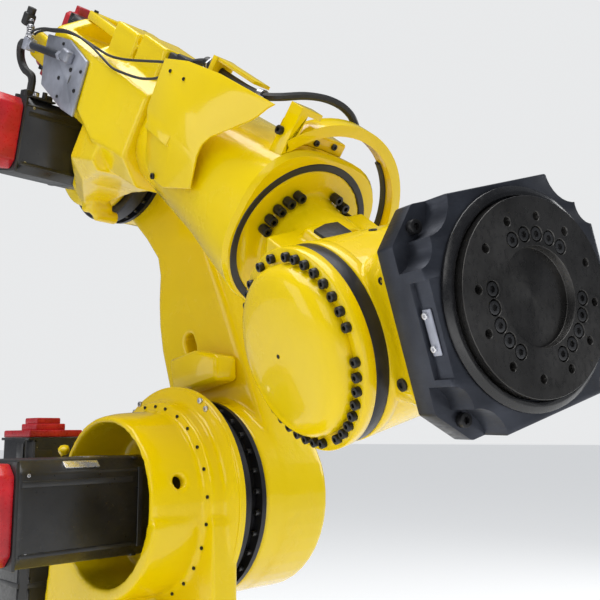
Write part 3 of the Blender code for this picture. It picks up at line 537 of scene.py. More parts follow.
# Turntable: housing with its mouth, the row of plugs on the step, the port and the motors' seats.
housing = {"stepRing": 0.1955, "stepFace": 0.0325, "plugRadius": 0.0034, "plugTall": 0.003,
           "plugAngles": (111, 97.4, 85.9, 75.2, 61.9, 49.1, 34.7, 20.7, 4.9, -10.3, -24.2, -37.7, -51,
                          -64, 124, 137, 150, 163, 176, 189, 202),
           "portAngle": 15.4, "portY": -0.021, "portHalf": 0.0135, "portStart": 0.15, "portDeep": 0.06,
           "flangeFace": 0.078, "flangeSunk": 0.001, "flangeScrew": 0.0062, "flangeScrewTall": 0.005,
           "flangeScrews": ((0.111, 0.205), (0.131, 0.1875), (-0.111, 0.205), (-0.131, 0.1875)),
           "boss": ((-0.11, -0.11, 0.106), (0.45, -0.4, 0.8)), "bossRadius": 0.013, "bossHalf": 0.01,
           "feet": ((0.245, -0.205), (-0.245, 0.205), (-0.245, -0.205)), "footRadius": 0.03,
           "footLow": 0.42, "footHigh": 0.462,
           "barrel": 0.187, "stepBack": 0.0335, "pastMouth": -0.16,
           "fairing": ((0.03, -0.215), (0.05, -0.27), (0.085, -0.33), (0.14, -0.39), (0.2, -0.43),
                       (0.28, -0.45), (0.28, -0.02)),
           "fairingAngles": (-6, -85, -6),
           "front": ((-0.17, 0.05), (-0.0825, 0.05), (-0.0825, -0.3), (-0.1215, -0.4),
                     (-0.17, -0.4)),
           "frontHalf": 0.33,
           "rim": ((0.2, 0.0785), (0.2365, 0.0785), (0.2388, 0.0808), (0.2388, 0.092), (0.2368, 0.094),
                   (0.2, 0.094))}


def castTurntable(work):
    addRod(work, housing["bossRadius"], -housing["bossHalf"], housing["bossHalf"],
           housingFrame @ aimed(*housing["boss"]))
    for x, y in housing["feet"]:
        addRod(work, housing["footRadius"], housing["footLow"], housing["footHigh"], shift(x, y, 0), steps=36)


def fairingOutline():
    # What the pedestal's near front corner lacks: it draws in under the housing's barrel.
    outline = []
    for angle in range(*housing["fairingAngles"]):
        turn = math.radians(angle)
        outline.append((housing["barrel"] * math.cos(turn), housing["barrel"] * math.sin(turn)))
    return outline + list(housing["fairing"])


def portCut(work):
    upright = housingFrame @ turnX(math.radians(90))
    addSlab(work, fairingOutline(), -housing["stepBack"], -housing["pastMouth"], upright)
    turn = math.radians(housing["portAngle"])
    start = housing["portStart"]
    spot = aimed((start * math.cos(turn), housing["portY"], start * math.sin(turn)),
                 (math.cos(turn), 0, math.sin(turn)))
    addRod(work, housing["portHalf"], 0, housing["portDeep"], housingFrame @ spot, steps=32)


def frontCut(work):
    # The pedestal stays behind the housing's mouth.
    sideways = housingFrame @ turnZ(math.radians(90)) @ turnX(math.radians(90))
    addSlab(work, housing["front"], -housing["frontHalf"], housing["frontHalf"], sideways)


def makeTurntableParts():
    castSkin("turntable_casting", castTurntable, (portCut, frontCut))
    work = bmesh.new()
    addTurned(work, housing["rim"], facingFar, 160)
    bake(work, "housing_rim", "turntable", castPaint, housingFrame, 40)
    places = [screwAt(at, facing, housing["plugRadius"], housing["plugTall"]) for at, facing
              in ringSpots(housing["stepRing"], housing["plugAngles"], housing["stepFace"])]
    screwRow("housing_plugs", places, "turntable", housingFrame)
    places = []
    for x, z in housing["flangeScrews"]:
        places.append(screwAt((x, housing["flangeFace"] - housing["flangeSunk"], z), (0, -1, 0),
                              housing["flangeScrew"], housing["flangeScrewTall"]))
    screwRow("flange_screws", places, "turntable", housingFrame, brightSteel)
    places = []
    for index in range(tableRing["count"]):
        turn = fullTurn * index / tableRing["count"]
        at = (tableRing["radius"] * math.cos(turn), tableRing["radius"] * math.sin(turn), tableRing["seat"])
        if (at[0] < tableRing["sideX"] and abs(at[1]) > tableRing["sideY"]) or at[0] < tableRing["backX"]:
            places.append(screwAt(at, (0, 0, 1), tableRing["head"], tableRing["tall"]))
    screwRow("table_screws", places, "turntable", turnFrame)


makeTurntableParts()
print("turntable made")

# Reducers: a wide ring, a chamfer and a recessed drum; the arm's screws stand in the gap.
reducerRing = {"outer": 0.213, "drum": 0.19, "rearOuter": 0.211, "screwRing": 0.201, "head": 0.0056,
               "count": 30, "edge": 0.003, "lipEdge": 0.0015, "drumEdge": 0.002, "chamferShare": 0.25}
shoulderRing = {**reducerRing, "start": 0.0943, "lipEnd": 0.13, "chamfer": 0.135, "rear": 0.16,
                "end": 0.1712, "tall": 0.011, "first": 53.8}
elbowRing = {**reducerRing, "start": 0.1503, "lipEnd": 0.185, "chamfer": 0.19, "rear": 0.205,
             "end": 0.2147, "tall": 0.01, "first": 2.0}


def makeReducer(name, node, sizes, place):
    work = bmesh.new()
    outer, edge, lip = sizes["outer"], sizes["edge"], sizes["lipEdge"]
    inner = outer - (outer - sizes["drum"]) * sizes["chamferShare"]
    addTurned(work, [(0, sizes["start"]), (outer - edge, sizes["start"]), (outer, sizes["start"] + edge),
                     (outer, sizes["lipEnd"] - lip), (outer - lip, sizes["lipEnd"]),
                     (inner, sizes["chamfer"]), (sizes["drum"], sizes["chamfer"] + sizes["drumEdge"]),
                     (sizes["drum"], sizes["rear"]),
                     (sizes["rearOuter"], sizes["rear"]), (sizes["rearOuter"], sizes["end"]),
                     (0, sizes["end"])], facingFar, 128)
    bake(work, name, bodyOf[node], reducerSteel, place, 20, (node,))
    places = [screwAt(at, facing, sizes["head"], sizes["tall"]) for at, facing
              in ringSpots(sizes["screwRing"], closedBy(sizes["first"], sizes["count"]), sizes["rear"])]
    screwRow(name + "_screws", places, bodyOf[node], place, boltSteel)


makeReducer("shoulder_ring", "shoulder_reducer", shoulderRing, housingFrame)
makeReducer("elbow_ring", "elbow_reducer", elbowRing, elbowFrame)
print("reducers made")

# Lower arm: its casting, the stop block, the screw rings at foot and head and the lifting points on the far
# side.
armEyes = {"at": ((0.055, 0.2), (0.05, 0.85)), "radius": 0.026, "near": 0.34, "far": 0.366,
           "seat": 0.3662, "plug": 0.014, "plugTall": 0.01}
armScrews = {"count": 16, "ring": 0.12, "seat": 0.3595, "head": 0.0095, "tall": 0.01,
             "rows": (("arm_foot_screws", 0), ("arm_head_screws", lowerArmLength))}


def castLowerArm(work):
    for x, z in armEyes["at"]:
        addRod(work, armEyes["radius"], armEyes["near"], armEyes["far"],
               shoulderFrame @ shift(x, 0, z) @ facingFar, steps=36)


def makeLowerArmParts():
    castSkin("lower_arm", castLowerArm)
    dressNode("arm_stop_block", 0.007, 3)
    places = [screwAt((x, armEyes["seat"], z), (0, 1, 0), armEyes["plug"], armEyes["plugTall"])
              for x, z in armEyes["at"]]
    screwRow("arm_eye_plugs", places, "lower_arm", shoulderFrame)
    for name, z in armScrews["rows"]:
        places = []
        for index in range(armScrews["count"]):
            turn = fullTurn * index / armScrews["count"]
            ring = armScrews["ring"]
            at = (ring * math.cos(turn), armScrews["seat"], z + ring * math.sin(turn))
            places.append(screwAt(at, (0, 1, 0), armScrews["head"], armScrews["tall"]))
        screwRow(name, places, "lower_arm", shoulderFrame)


makeLowerArmParts()
print("lower arm made")

# Motors: black frames with a mounting collar, a long groove, bare nameplate and red end caps.
def stretchAlong(work, place, start, end, newStart, newEnd):
    # Moves what lies between two places on the local Y axis to a new pair of places.
    back = place.inverted()
    share = (newEnd - newStart) / (end - start)
    for vert in work.verts:
        spot = back @ vert.co
        if min(start, end) - gap <= spot.y <= max(start, end) + gap:
            spot.y = newStart + (spot.y - start) * share
            vert.co = place @ spot


motorShape = {"end": 0.01, "edge": 0.05, "railHalf": 0.0016, "railStop": 0.012, "railEdge": 0.001,
              "rails": ((0.5, 0.62), (-0.78, -0.7)), "collar": 0.012, "collarShare": 1.012,
              "collarSpan": 0.8, "collarEdge": 0.0015, "back": 0.0002, "backTall": 0.006, "backShare": 0.985,
              "backEdge": 0.0012, "screwRise": 0.022, "screwShare": 0.72, "screw": 0.036, "screwTall": 0.026}
capShape = {"edge": 0.06, "screwShare": 0.74, "screw": 0.06, "screwTall": 0.04}


def motorDress(node, place, half, low, high, collarLow, longer=0.0):
    work = solidOf(node)
    end, rail, wide = motorShape["end"], motorShape["railHalf"], half * motorShape["collarShare"]
    if longer:
        stretchAlong(work, place, low, low + end, low - longer, low)
        low -= longer
    softenEdges(work, half * motorShape["edge"], 2)
    for side in (-1, 1):
        for under, over in motorShape["rails"]:
            addBox(work, (side * half - rail, low + end, half * under),
                   (side * half + rail, collarLow - motorShape["railStop"], half * over), place,
                   motorShape["railEdge"])
    span, collarHigh = half * motorShape["collarSpan"], collarLow + motorShape["collar"]
    for x, z in ((span, wide), (wide, span)):
        addBox(work, (-x, collarLow, -z), (x, collarHigh, z), place, motorShape["collarEdge"])
    back = half * motorShape["backShare"]
    addBox(work, (-back, low - motorShape["back"], -back), (back, low + motorShape["backTall"], back), place,
           motorShape["backEdge"])
    bake(work, node + ".dressed", bodyOf[node], motorBlack, inPlace, 30, (node,))
    places = []
    for x in (-1, 1):
        for z in (-1, 1):
            at = (x * back, low + motorShape["screwRise"], z * half * motorShape["screwShare"])
            places.append(screwAt(at, (x, 0, 0), half * motorShape["screw"], half * motorShape["screwTall"]))
    screwRow(node + ".screws", places, bodyOf[node], place, brightSteel)


def capDress(node, place, half, face, direction, shorter=None):
    work = solidOf(node)
    if shorter:
        stretchAlong(work, place, face, shorter[0], face, shorter[1])
    softenEdges(work, half * capShape["edge"], 3)
    bake(work, node + ".dressed", bodyOf[node], motorRed, inPlace, 30, (node,))
    places = []
    for x in (-1, 1):
        for z in (-1, 1):
            out = half * capShape["screwShare"]
            places.append(screwAt((x * out, face, z * out), (0, direction, 0), half * capShape["screw"],
                                  half * capShape["screwTall"]))
    screwRow(node + ".screws", places, bodyOf[node], place, brightSteel)


def makeMotors():
    motorDress("shoulder_motor", housingFrame, 0.0935, -0.2753, 0.0517, -0.06, 0.031)
    capDress("shoulder_motor_cap", housingFrame, 0.088, -0.3376, -1, (-0.2756, -0.3066))
    upright = Matrix.Translation((0.042, -0.048, 0)) @ turnX(math.radians(-90))
    motorDress("turn_motor", upright, 0.07, -1.0723, -0.7003, -0.76)
    work = bmesh.new()
    for half, x, y, low, high in ((0.0655, 0, 0, -1.089, -1.0727), (0.037, -0.004, 0.002, -1.104, -1.088),
                                  (0.03, -0.012, 0.004, -1.1176, -1.103)):
        addBox(work, (x - half, low, y - half), (x + half, high, y + half), upright, 0.003, 3)
    bake(work, "turn_motor_lid", "turntable", motorRed,
         replaced=("turn_motor_cap",))
    motorDress("elbow_motor", elbowMotor, 0.0935, -0.1463, 0.0847, 0.02)
    capDress("elbow_motor_cap", elbowMotor, 0.088, -0.2086, -1)
    for index, y, z, angle in ((1, 0.072, 0.05, 0), (2, -0.016, 0.05, 0), (3, -0.048, -0.036, 180)):
        node = "wrist_motor_%d" % index
        lying = (elbowFrame @ shift(0, y, elbowRise + z) @ turnX(math.radians(angle))
                 @ turnZ(math.radians(-90)))
        motorDress(node, lying, 0.039, -0.0553, 0.0547, 0.02)
        capDress(node + "_cap", lying, 0.0367, -0.0896, -1)
    work = bmesh.new()
    chamfer = housingFrame @ shift(0.0862, 0, 0.0862) @ turnY(math.radians(45))
    addBox(work, (-0.008, -0.213, -0.003), (0.008, -0.142, 0.0008), chamfer @ shift(0, 0, -0.0035),
           0.0006)
    addBox(work, (-0.05, -0.12, 0.0925), (0.01, -0.075, 0.0945), housingFrame, 0.0006)
    bake(work, "shoulder_motor.plate", "turntable", brightSteel)
    work = bmesh.new()
    addBox(work, (0.111, -0.1, 1.000), (0.1135, -0.06, 1.045), turnFrame, 0.002)
    addBox(work, (0.06, -0.12, 1.02), (0.092, -0.118, 1.06), turnFrame, 0.002)
    bake(work, "turn_motor.pads", "turntable", motorBlack)


makeMotors()
print("motors made")

# Elbow casing: cast lids, lugs and hub, with the grey side plate, the rail frame and the fittings.
sidePlate = {"face": -0.1433, "holes": ((0.2021, 0.1718, 0.0045), (0.2935, 0.1738, 0.0045),
                                        (0.2447, 0.2061, 0.005), (0.2931, 0.2183, 0.004),
                                        (0.1666, 0.2421, 0.004), (0.225, 0.135, 0.0035)),
             "ovalAt": (0.2508, 0.1868), "ovalHalf": 0.0045, "ovalTall": 0.011, "before": 0.004,
             "through": 0.02, "screwTall": 0.0026}
# Cast on to the casing: (low corner, high corner, bevel, segments).
casingLugs = (((0.165, 0.034, -0.128), (0.245, 0.094, -0.085), 0.016, 3),
              ((-0.052, -0.124, 0.152), (0.08, -0.104, 0.22), 0.009, 3),
              ((0.292, -0.104, 0.34), (0.388, -0.016, 0.3525), 0.004, 2),
              ((0.408, -0.102, 0.35), (0.508, -0.014, 0.36), 0.004, 2))
casingBosses = {"at": ((0.205, 0.06, -0.116), (0.235, 0.082, -0.122)), "radius": 0.016, "half": 0.03}
railScrews = {"x": (0.1, 0.27), "y": (-0.066, 0.07), "seat": 0.327, "head": 0.0055, "tall": 0.005}
pipeNuts = ((0.0125, -0.004, 0.01), (0.012, 0.168, 0.184))
elbowNuts = ((0.007, 0.2027, 0.0088, 0.01), (-0.0085, 0.1905, 0.01, 0.008))
stackRings = ((0, 0.008, 0.0105), (0.011, 0.014, 0.009), (0.017, 0.02, 0.009), (0.023, 0.03, 0.0095),
              (0.04, 0.047, 0.0075))
# On the elbow motor's top: (x, y, radius, top, steps).
motorSeat = 0.0935
motorNuts = ((0.081, -0.12, 0.0075, 0.106, 24), (0.07, -0.098, 0.008, 0.102, 6),
             (0.02, -0.124, 0.0085, 0.101, 6))
motorPlugs = ((0.081, -0.098, 0.006, 0.114, 20), (0.058, -0.078, 0.011, 0.112, 20),
              (-0.012, -0.122, 0.01, 0.108, 20), (0.02, -0.124, 0.006, 0.115, 20),
              (0.03, -0.084, 0.0085, 0.107, 20))
pipeLine = elbowFrame @ shift(0.022, -0.1526, 0.1885) @ turnY(math.radians(80))
fittingStack = elbowFrame @ shift(-0.012, -0.148, 0.2) @ turnY(math.radians(-38))


def castElbow(work):
    for spot in casingBosses["at"]:
        addRod(work, casingBosses["radius"], -casingBosses["half"], casingBosses["half"],
               elbowFrame @ shift(*spot) @ facingFar, steps=32)
    for low, high, bevel, segments in casingLugs:
        addBox(work, low, high, elbowFrame, bevel, segments)


def addMotorRods(work, rows):
    for x, y, radius, top, steps in rows:
        addRod(work, radius, motorSeat, top, elbowMotor @ shift(x, y, 0), steps=steps, bevel=0.001)


def makeElbowParts():
    castSkin("elbow_casting", castElbow)

    def plateCuts(work):
        x, z = sidePlate["ovalAt"]
        spot = elbowFrame @ shift(x, sidePlate["face"] - sidePlate["before"], z) @ facingFar
        oval = Matrix.Diagonal((sidePlate["ovalHalf"], sidePlate["ovalTall"], 1, 1))
        addRod(work, 1, 0, sidePlate["through"], spot @ oval, steps=32)

    work = carve(solidOf("elbow_side_plate"), plateCuts)
    softenEdges(work, 0.0012)
    bake(work, "elbow_plate", "forearm", alloy, replaced=("elbow_side_plate",))
    places = []
    for x, z, radius in sidePlate["holes"]:
        places.append(screwAt((x, sidePlate["face"], z), (0, -1, 0), radius, sidePlate["screwTall"]))
    screwRow("elbow_plate_screws", places, "forearm", elbowFrame)
    for node, width in (("elbow_rail_frame", 0.003), ("elbow_pipe", 0), ("elbow_pipe_fitting", 0.002),
                        ("elbow_hose_gland", 0.003), ("elbow_hose", 0), ("elbow_cable_1", 0),
                        ("elbow_cable_2", 0)):
        dressNode(node, width)
    places = [screwAt((x, y, railScrews["seat"]), (0, 0, 1), railScrews["head"], railScrews["tall"])
              for x in railScrews["x"] for y in railScrews["y"]]
    screwRow("rail_frame_screws", places, "forearm", elbowFrame)

    # Pipe end, nuts of the fittings and the plugs behind them.
    work = bmesh.new()
    for radius, low, high in pipeNuts:
        addRod(work, radius, low, high, pipeLine, steps=6, bevel=0.001)
    addBox(work, (0.204, -0.164, 0.214), (0.24, -0.142, 0.242), elbowFrame, 0.007, 3)
    bake(work, "pipe_nuts", "forearm", alloy)
    work = bmesh.new()
    for x, z, radius, tall in elbowNuts:
        addRod(work, radius, 0, tall, elbowFrame @ shift(x, -0.1526, z), steps=6, bevel=0.0008)
    for low, high, radius in stackRings:
        addRod(work, radius, low, high, fittingStack, steps=28, bevel=0.0008)
    addMotorRods(work, motorNuts)
    bake(work, "fitting_nuts", "forearm", brightSteel)
    work = bmesh.new()
    addRod(work, 0.0072, 0.006, 0.048, fittingStack, steps=24, bevel=0.0006)
    addBox(work, (-0.06, -0.164, 0.218), (-0.036, -0.138, 0.25), elbowFrame, 0.005, 3)
    addRod(work, 0.0105, 0, 0.016, elbowFrame @ shift(-0.048, -0.151, 0.248), steps=24, bevel=0.001)
    addMotorRods(work, motorPlugs)
    addBox(work, (0.03, -0.132, 0.0925), (0.09, -0.07, 0.0975), elbowMotor, 0.002)
    bake(work, "fitting_plugs", "forearm", plugBlack)


makeElbowParts()
print("elbow made")

# Forearm: casting, cover with its bolts, hoop, brackets, hose fittings and the black ring seal.
def makeForearmParts():
    dressNode("forearm_casting", 0.004, 3, sharpAngle=40)
    fold = elbowFrame @ shift(0, -0.16, 0.262) @ turnX(math.atan(-0.2))
    work = carve(solidOf("forearm_cover"),
                 lambda cutters: addBox(cutters, (0.6, -0.03, -0.115), (0.76, -0.0003, -0.001), fold))
    softenEdges(work, 0.0012)
    bake(work, "cover_sheet", "forearm", sheetPaint,
         replaced=("forearm_cover",))
    dressNode("hose_hoop", 0.003, 3)
    dressNode("front_hose_bracket", 0.0015)
    dressNode("rear_hose_bracket", 0.0012)
    dressNode("top_hose", 0)
    places = [screwAt((x, y, z), (0, -1, 0), 0.0034, 0.0022) for x, y, z
              in ((0.6551, -0.16, 0.3416), (0.7061, -0.16, 0.3441))]
    screwRow("cover_screws", places, "forearm", elbowFrame)
    places = [screwAt((0.7033, -0.1384, 0.156), (0, -1, -0.2), 0.0058, 0.0045)]
    places.append(screwAt((0.9498, -0.112, 0.359), (0, -1, 0), 0.0075, 0.008))
    for y, z in ((-0.0239, 0.358), (0.0173, 0.362)):
        places.append(screwAt((0.9411, y, z), (1, 0, 0), 0.0055, 0.0045))
    places.append(screwAt((0.956, 0.227, 0.286), (0, 0, 1), 0.007, 0.007))
    screwRow("forearm_screws", places, "forearm", elbowFrame)
    work = bmesh.new()
    ring = elbowFrame @ wristAxis
    addTurned(work, [(0.1268, 0.957), (0.1402, 0.957), (0.1402, 0.985), (0.1385, 0.9868),
                     (0.1285, 0.9868), (0.1268, 0.985)], ring, 128)
    bake(work, "roll_seal", "forearm", hoseRubber, inPlace, 40)
    work = bmesh.new()
    for x, low, high, radius in ((0.645, 0, 0.018, 0.0105), (0.665, 0, 0.012, 0.012),
                                 (0.679, 0, 0.0105, 0.011)):
        addRod(work, radius, low, high, elbowFrame @ shift(x, -0.09, 0.38) @ turnY(math.radians(90)),
               steps=24, bevel=0.0008)
    addBox(work, (0.56, -0.104, 0.345), (0.598, -0.06, 0.366), elbowFrame, 0.004)
    addBox(work, (0.512, -0.092, 0.328), (0.548, -0.048, 0.358), elbowFrame, 0.005)
    bake(work, "hose_plugs", "forearm", plugBlack)
    work = bmesh.new()
    for x, low, high, radius in ((0.659, 0, 0.006, 0.0128), (0.684, 0, 0.0058, 0.0115)):
        addRod(work, radius, low, high, elbowFrame @ shift(x, -0.09, 0.38) @ turnY(math.radians(90)),
               steps=6, bevel=0.0008)
    bake(work, "hose_nuts", "forearm", brightSteel)
    work = bmesh.new()
    hug = elbowFrame @ shift(0.856, -0.104, 0.3875) @ turnY(math.radians(80))
    addTurned(work, [(0.0074, -0.007), (0.01, -0.007), (0.01, 0.007), (0.0074, 0.007)], hug, 32)
    addBox(work, (0.86, -0.116, 0.356), (0.874, -0.112, 0.388), elbowFrame, 0.001)
    bake(work, "hose_clip", "forearm", brightSteel)
    work = bmesh.new()
    liner = elbowFrame @ shift(0, 0.033, 0.215) @ turnY(math.radians(90))
    outline = []
    steps = 24
    for radius, order in ((0.1785, range(steps + 1)), (0.173, range(steps, -1, -1))):
        for index in order:
            turn = math.radians(58 - 48 * index / steps)
            outline.append((-radius * math.sin(turn), radius * math.cos(turn)))
    addSlab(work, outline, 0.944, 0.956, liner, 0.001)
    bake(work, "hoop_liner", "forearm", hoseRubber)


makeForearmParts()
print("forearm made")

# Wrist: neck with its pad, the roll and bend screws, the dome and the head with its bosses.
rollScrews = {"ring": 0.0925, "seat": -0.262, "head": 0.0086, "tall": 0.018,
              "angles": (115, 127, 140, 153, 166, -142, -126, -110, -12, 4, 20, 36)}
bendScrews = {"ring": 0.1335, "seat": -0.18, "head": 0.0068, "tall": 0.0085,
              "groups": ((147, 2, 15), (114.8, 8, 9.47), (29, 8, 8.6), (-48.6, 8, 9), (-131, 8, 9))}
neckPad = {"outline": ((-0.165, -0.054), (-0.175, -0.025), (-0.1735, -0.001), (-0.1395, 0.0016),
                       (-0.128, -0.005), (-0.125, -0.027), (-0.1395, -0.052)), "low": 0.07, "high": 0.0815}
domeProfile = ((0, 0.215), (0.04, 0.2148), (0.07, 0.2136), (0.09, 0.2116), (0.104, 0.2084),
               (0.1135, 0.204), (0.1195, 0.198), (0.123, 0.19), (0.124, 0.183), (0.124, 0.1803),
               (0, 0.1803))
crispRim = {"radius": 0.1459, "edge": 0.0018, "rimLow": 0.1606, "rimHigh": 0.1804, "headLow": 0.118,
            "headHigh": 0.1386, "inner": 0.13, "trim": 0.149}


def rimRing(name, low, high, body, place):
    # The turned edge of a cast drum, as a ring about the bend axis.
    radius, edge, inner = crispRim["radius"], crispRim["edge"], crispRim["inner"]
    work = bmesh.new()
    addTurned(work, [(inner, low), (radius - edge, low), (radius, low + edge), (radius, high - edge),
                     (radius - edge, high), (inner, high)], place @ turnX(math.radians(90)), 128)
    bake(work, name, body, castPaint, inPlace, 50)


def trimNeck(work):
    # The arm beside the drum stays close to the rim it carries.
    addTurned(work, [(crispRim["trim"], 0.112), (0.27, 0.112), (0.27, 0.2), (crispRim["trim"], 0.2)],
              rollFrame @ turnX(math.radians(90)), 96)


def castNeck(work):
    addBox(work, (-0.19, -0.062, 0.02), (-0.121, 0.01, 0.077), rollFrame, 0.01)


def makeWristParts():
    castSkin("wrist_neck", castNeck, (trimNeck,))
    rimRing("wrist_rim", crispRim["rimLow"], crispRim["rimHigh"], "wrist_neck", rollFrame)
    places = []
    for angle in rollScrews["angles"]:
        turn = math.radians(angle)
        at = (rollScrews["seat"], -rollScrews["ring"] * math.sin(turn), -rollScrews["ring"] * math.cos(turn))
        places.append(screwAt(at, (1, 0, 0), rollScrews["head"], rollScrews["tall"]))
    screwRow("roll_screws", places, "wrist_neck", rollFrame)
    places = []
    for start, count, step in bendScrews["groups"]:
        for at, facing in ringSpots(bendScrews["ring"], [start - step * index for index in range(count)],
                                    bendScrews["seat"]):
            places.append(screwAt(at, facing, bendScrews["head"], bendScrews["tall"]))
    screwRow("bend_screws", places, "wrist_neck", rollFrame)
    work = bmesh.new()
    addSlab(work, neckPad["outline"], neckPad["low"], neckPad["high"], rollFrame, 0.0012)
    bake(work, "neck_pad", "wrist_neck", plugBlack)
    work = bmesh.new()
    addTurned(work, list(domeProfile), rollFrame @ turnX(math.radians(90)), 128)
    bake(work, "bend_dome", "wrist_neck", castPaint, inPlace, 60, ("bend_cover",))
    dressNode("bend_reducer_band", 0.0015)
    # A thin black disc at the dome's centre: painted shade standing for the small hole there.
    places = [screwAt((0, -0.215, 0), (0, -1, 0), 0.003, 0.001)]
    screwRow("dome_hole_shade", places, "wrist_neck", rollFrame)


def castHead(work):
    for at, facing, radius, reach in (((0.0465, -0.041, 0.134), (0.28, 0, 0.96), 0.0135, 0.0042),
                                      ((0.156, -0.133, -0.067), (0, -1, 0), 0.014, 0.006),
                                      ((0.165, -0.133, 0.0661), (0, -1, 0), 0.013, 0.005),
                                      ((0.15, -0.05, 0.117), (-0.3, 0, 1), 0.013, 0.006),
                                      ((0.15, 0.06, 0.117), (-0.3, 0, 1), 0.013, 0.006)):
        addRod(work, radius, -0.01, reach, bendFrame @ aimed(at, facing), steps=28)


def makeHeadParts():
    castSkin("wrist_head", castHead)
    rimRing("head_rim", crispRim["headLow"], crispRim["headHigh"], "wrist_head", bendFrame)
    # Black plugs on two bosses; the small black disc on the boss at x 0.165 is painted shade standing for the
    # hole there.
    places = [screwAt((0.0471, -0.038, 0.1376), (0.28, 0, 0.96), 0.0065, 0.0022),
              screwAt((0.156, -0.1386, -0.067), (0, -1, 0), 0.0085, 0.004),
              screwAt((0.165, -0.1376, 0.0661), (0, -1, 0), 0.005, 0.0022)]
    screwRow("head_plugs_and_hole_shade", places, "wrist_head", bendFrame)


makeWristParts()
makeHeadParts()
print("wrist made")

# Tool block and flange: corner screws, the alloy plate, and the drilled flange with its recess.
block = {"screwY": 0.119, "screwZ": 0.1187, "floor": 0.222, "head": 0.0092, "tall": 0.01,
         "plateScrews": ((0.2458, 0.0151), (0.2466, -0.0242)), "plateFace": -0.1515}
flange = {"holes": 12, "holeRing": 0.1, "hole": 0.0056, "deep": 0.015, "first": 13.24,
          "screwRing": 0.0776, "bore": 0.01, "boreDeep": 0.0075, "head": 0.0084, "tall": 0.0066,
          "groups": (-106.5, 13.5, 133.5), "step": 16.16, "groupCount": 5}


def faceSpot(radius, angle, x):
    turn = math.radians(angle)
    return (x, -radius * math.cos(turn), -radius * math.sin(turn))


def flangeScrewAngles():
    middle = (flange["groupCount"] - 1) / 2
    return [group + flange["step"] * (index - middle) for group in flange["groups"]
            for index in range(flange["groupCount"])]


def drillFlange(work):
    for angle in closedBy(flange["first"], flange["holes"]):
        addRod(work, flange["hole"], -flange["deep"], 0.002,
               toolFrame @ aimed(faceSpot(flange["holeRing"], angle, 0), (1, 0, 0)), steps=24)
    for angle in flangeScrewAngles():
        addRod(work, flange["bore"], -flange["boreDeep"], 0.002,
               toolFrame @ aimed(faceSpot(flange["screwRing"], angle, 0), (1, 0, 0)), steps=28)


def makeToolParts():
    dressNode("tool_block", 0.0022, 2)
    places = []
    for y in (-block["screwY"], block["screwY"]):
        for z in (-block["screwZ"], block["screwZ"]):
            places.append(screwAt((block["floor"], y, z), (1, 0, 0), block["head"], block["tall"]))
    screwRow("block_screws", places, "wrist_head", bendFrame)
    work = bmesh.new()
    addBox(work, (0.2405, -0.1515, -0.033), (0.2545, -0.1484, 0.0225), bendFrame, 0.002)
    bake(work, "block_tag", "wrist_head", alloy, replaced=("block_plate",))
    places = [screwAt((x, block["plateFace"], z), (0, -1, 0), 0.0042, 0.0032)
              for x, z in block["plateScrews"]]
    screwRow("plate_screws", places, "wrist_head", bendFrame, brightSteel)
    work = solidOf("block_seal")
    softenEdges(work, 0.001, 3)
    bake(work, "flange_seal", "wrist_head", sealBlack, inPlace, 30,
         ("block_seal",))
    work = carve(solidOf("tool_flange"), drillFlange)
    softenEdges(work, 0.0007, 1)
    bake(work, "flange_face", "tool_flange", flangeSteel, inPlace, 30,
         ("tool_flange",))
    places = [screwAt(faceSpot(flange["screwRing"], angle, -flange["boreDeep"]), (1, 0, 0), flange["head"],
                      flange["tall"]) for angle in flangeScrewAngles()]
    screwRow("flange_face_screws", places, "tool_flange", toolFrame, boltSteel)


makeToolParts()
print("tool end made")


# Studio: pale floor, soft light and the camera where the photograph was taken from.
floorSize = 60.0
floorGap = 0.0005
work = bmesh.new()
bmesh.ops.create_grid(work, x_segments=1, y_segments=1, size=floorSize)
floorMesh = meshOf(work, "studioFloor")
floor = bpy.data.objects.new("studioFloor", floorMesh)
scene.collection.objects.link(floor)
floor.location = (0, 0, -floorGap)
floorPaint, floorTree, floorShader = newMaterial("studioFloorPaint", (0.82, 0.82, 0.81), 0.7)
floorShader.inputs["Emission Color"].default_value = (0.82, 0.83, 0.84, 1)
floorShader.inputs["Emission Strength"].default_value = 0.42
floorMesh.materials.append(floorPaint)

world = bpy.data.worlds.new("studio")
scene.world = world
world.use_nodes = True
sky = world.node_tree


def skyShade(node, colour, strength):
    node.inputs["Color"].default_value = (*colour, 1)
    node.inputs["Strength"].default_value = strength
    return node.outputs["Background"]


def skyChoice(ray, usual, special):
    mix = sky.nodes.new("ShaderNodeMixShader")
    for socket, source in enumerate((rays.outputs[ray], usual, special)):
        sky.links.new(source, mix.inputs[socket])
    return mix.outputs["Shader"]


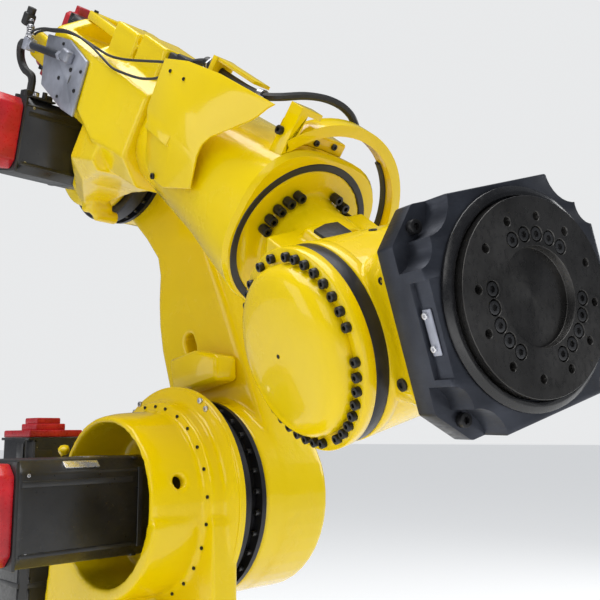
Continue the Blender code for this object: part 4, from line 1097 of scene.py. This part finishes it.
rays = sky.nodes.new("ShaderNodeLightPath")
soft = skyShade(sky.nodes["Background"], (0.86, 0.89, 0.94), 0.44)
backdrop = skyShade(sky.nodes.new("ShaderNodeBackground"), (0.88, 0.89, 0.9), 0.92)
mirrored = skyShade(sky.nodes.new("ShaderNodeBackground"), (0.8, 0.85, 0.94), 0.22)
sky.links.new(skyChoice("Is Camera Ray", skyChoice("Is Glossy Ray", soft, mirrored), backdrop),
              sky.nodes["World Output"].inputs["Surface"])


def areaLight(name, at, towards, size, power, colour=(1, 1, 1)):
    lamp = bpy.data.lights.new(name, "AREA")
    lamp.shape = "RECTANGLE"
    lamp.size, lamp.size_y = size
    lamp.energy = power
    lamp.color = colour
    holder = bpy.data.objects.new(name, lamp)
    scene.collection.objects.link(holder)
    holder.location = at
    holder.rotation_euler = (Vector(towards) - Vector(at)).to_track_quat("-Z", "Y").to_euler()


# Name, place, aim, size and power.
for lightRow in (("topLight", (0.8, -0.8, 5.6), (0.5, 0, 1.0), (4.0, 4.0), 225),
                 ("keyLight", (3.6, -3.6, 3.4), (0.5, 0, 1.2), (2.4, 2.4), 34, (1, 0.98, 0.95)),
                 ("sideLight", (-2.6, -4.4, 2.2), (0.2, 0, 1.2), (2.2, 3.0), 36),
                 ("farLight", (1.5, 5.0, 3.0), (0.4, 0, 1.2), (3.0, 2.5), 70),
                 ("lowFill", (3.4, -1.0, 0.35), (0.8, 0, 1.3), (2.4, 1.0), 7)):
    areaLight(*lightRow)

focalLength = 46.57
cameraAt = Vector((1.7829, -0.9292, 1.0751))
lookAlong = Vector((-0.697, 0.697, 0.17)).normalized()
lookRight = Vector((0.706, 0.708, -0.009))
photoCamera = bpy.data.cameras.new("photoCamera")
photoCamera.sensor_width = 36.0
photoCamera.lens = focalLength
photoCamera.clip_start = 0.05
cameraHolder = bpy.data.objects.new("photoCamera", photoCamera)
scene.collection.objects.link(cameraHolder)
lookRight = (lookRight - lookAlong * lookRight.dot(lookAlong)).normalized()
lookUp = lookRight.cross(lookAlong)
aim = Matrix((lookRight, lookUp, -lookAlong)).transposed().to_4x4()
cameraHolder.matrix_world = Matrix.Translation(cameraAt) @ aim
scene.camera = cameraHolder
scene.view_settings.view_transform = "Standard"
print("studio and camera set")
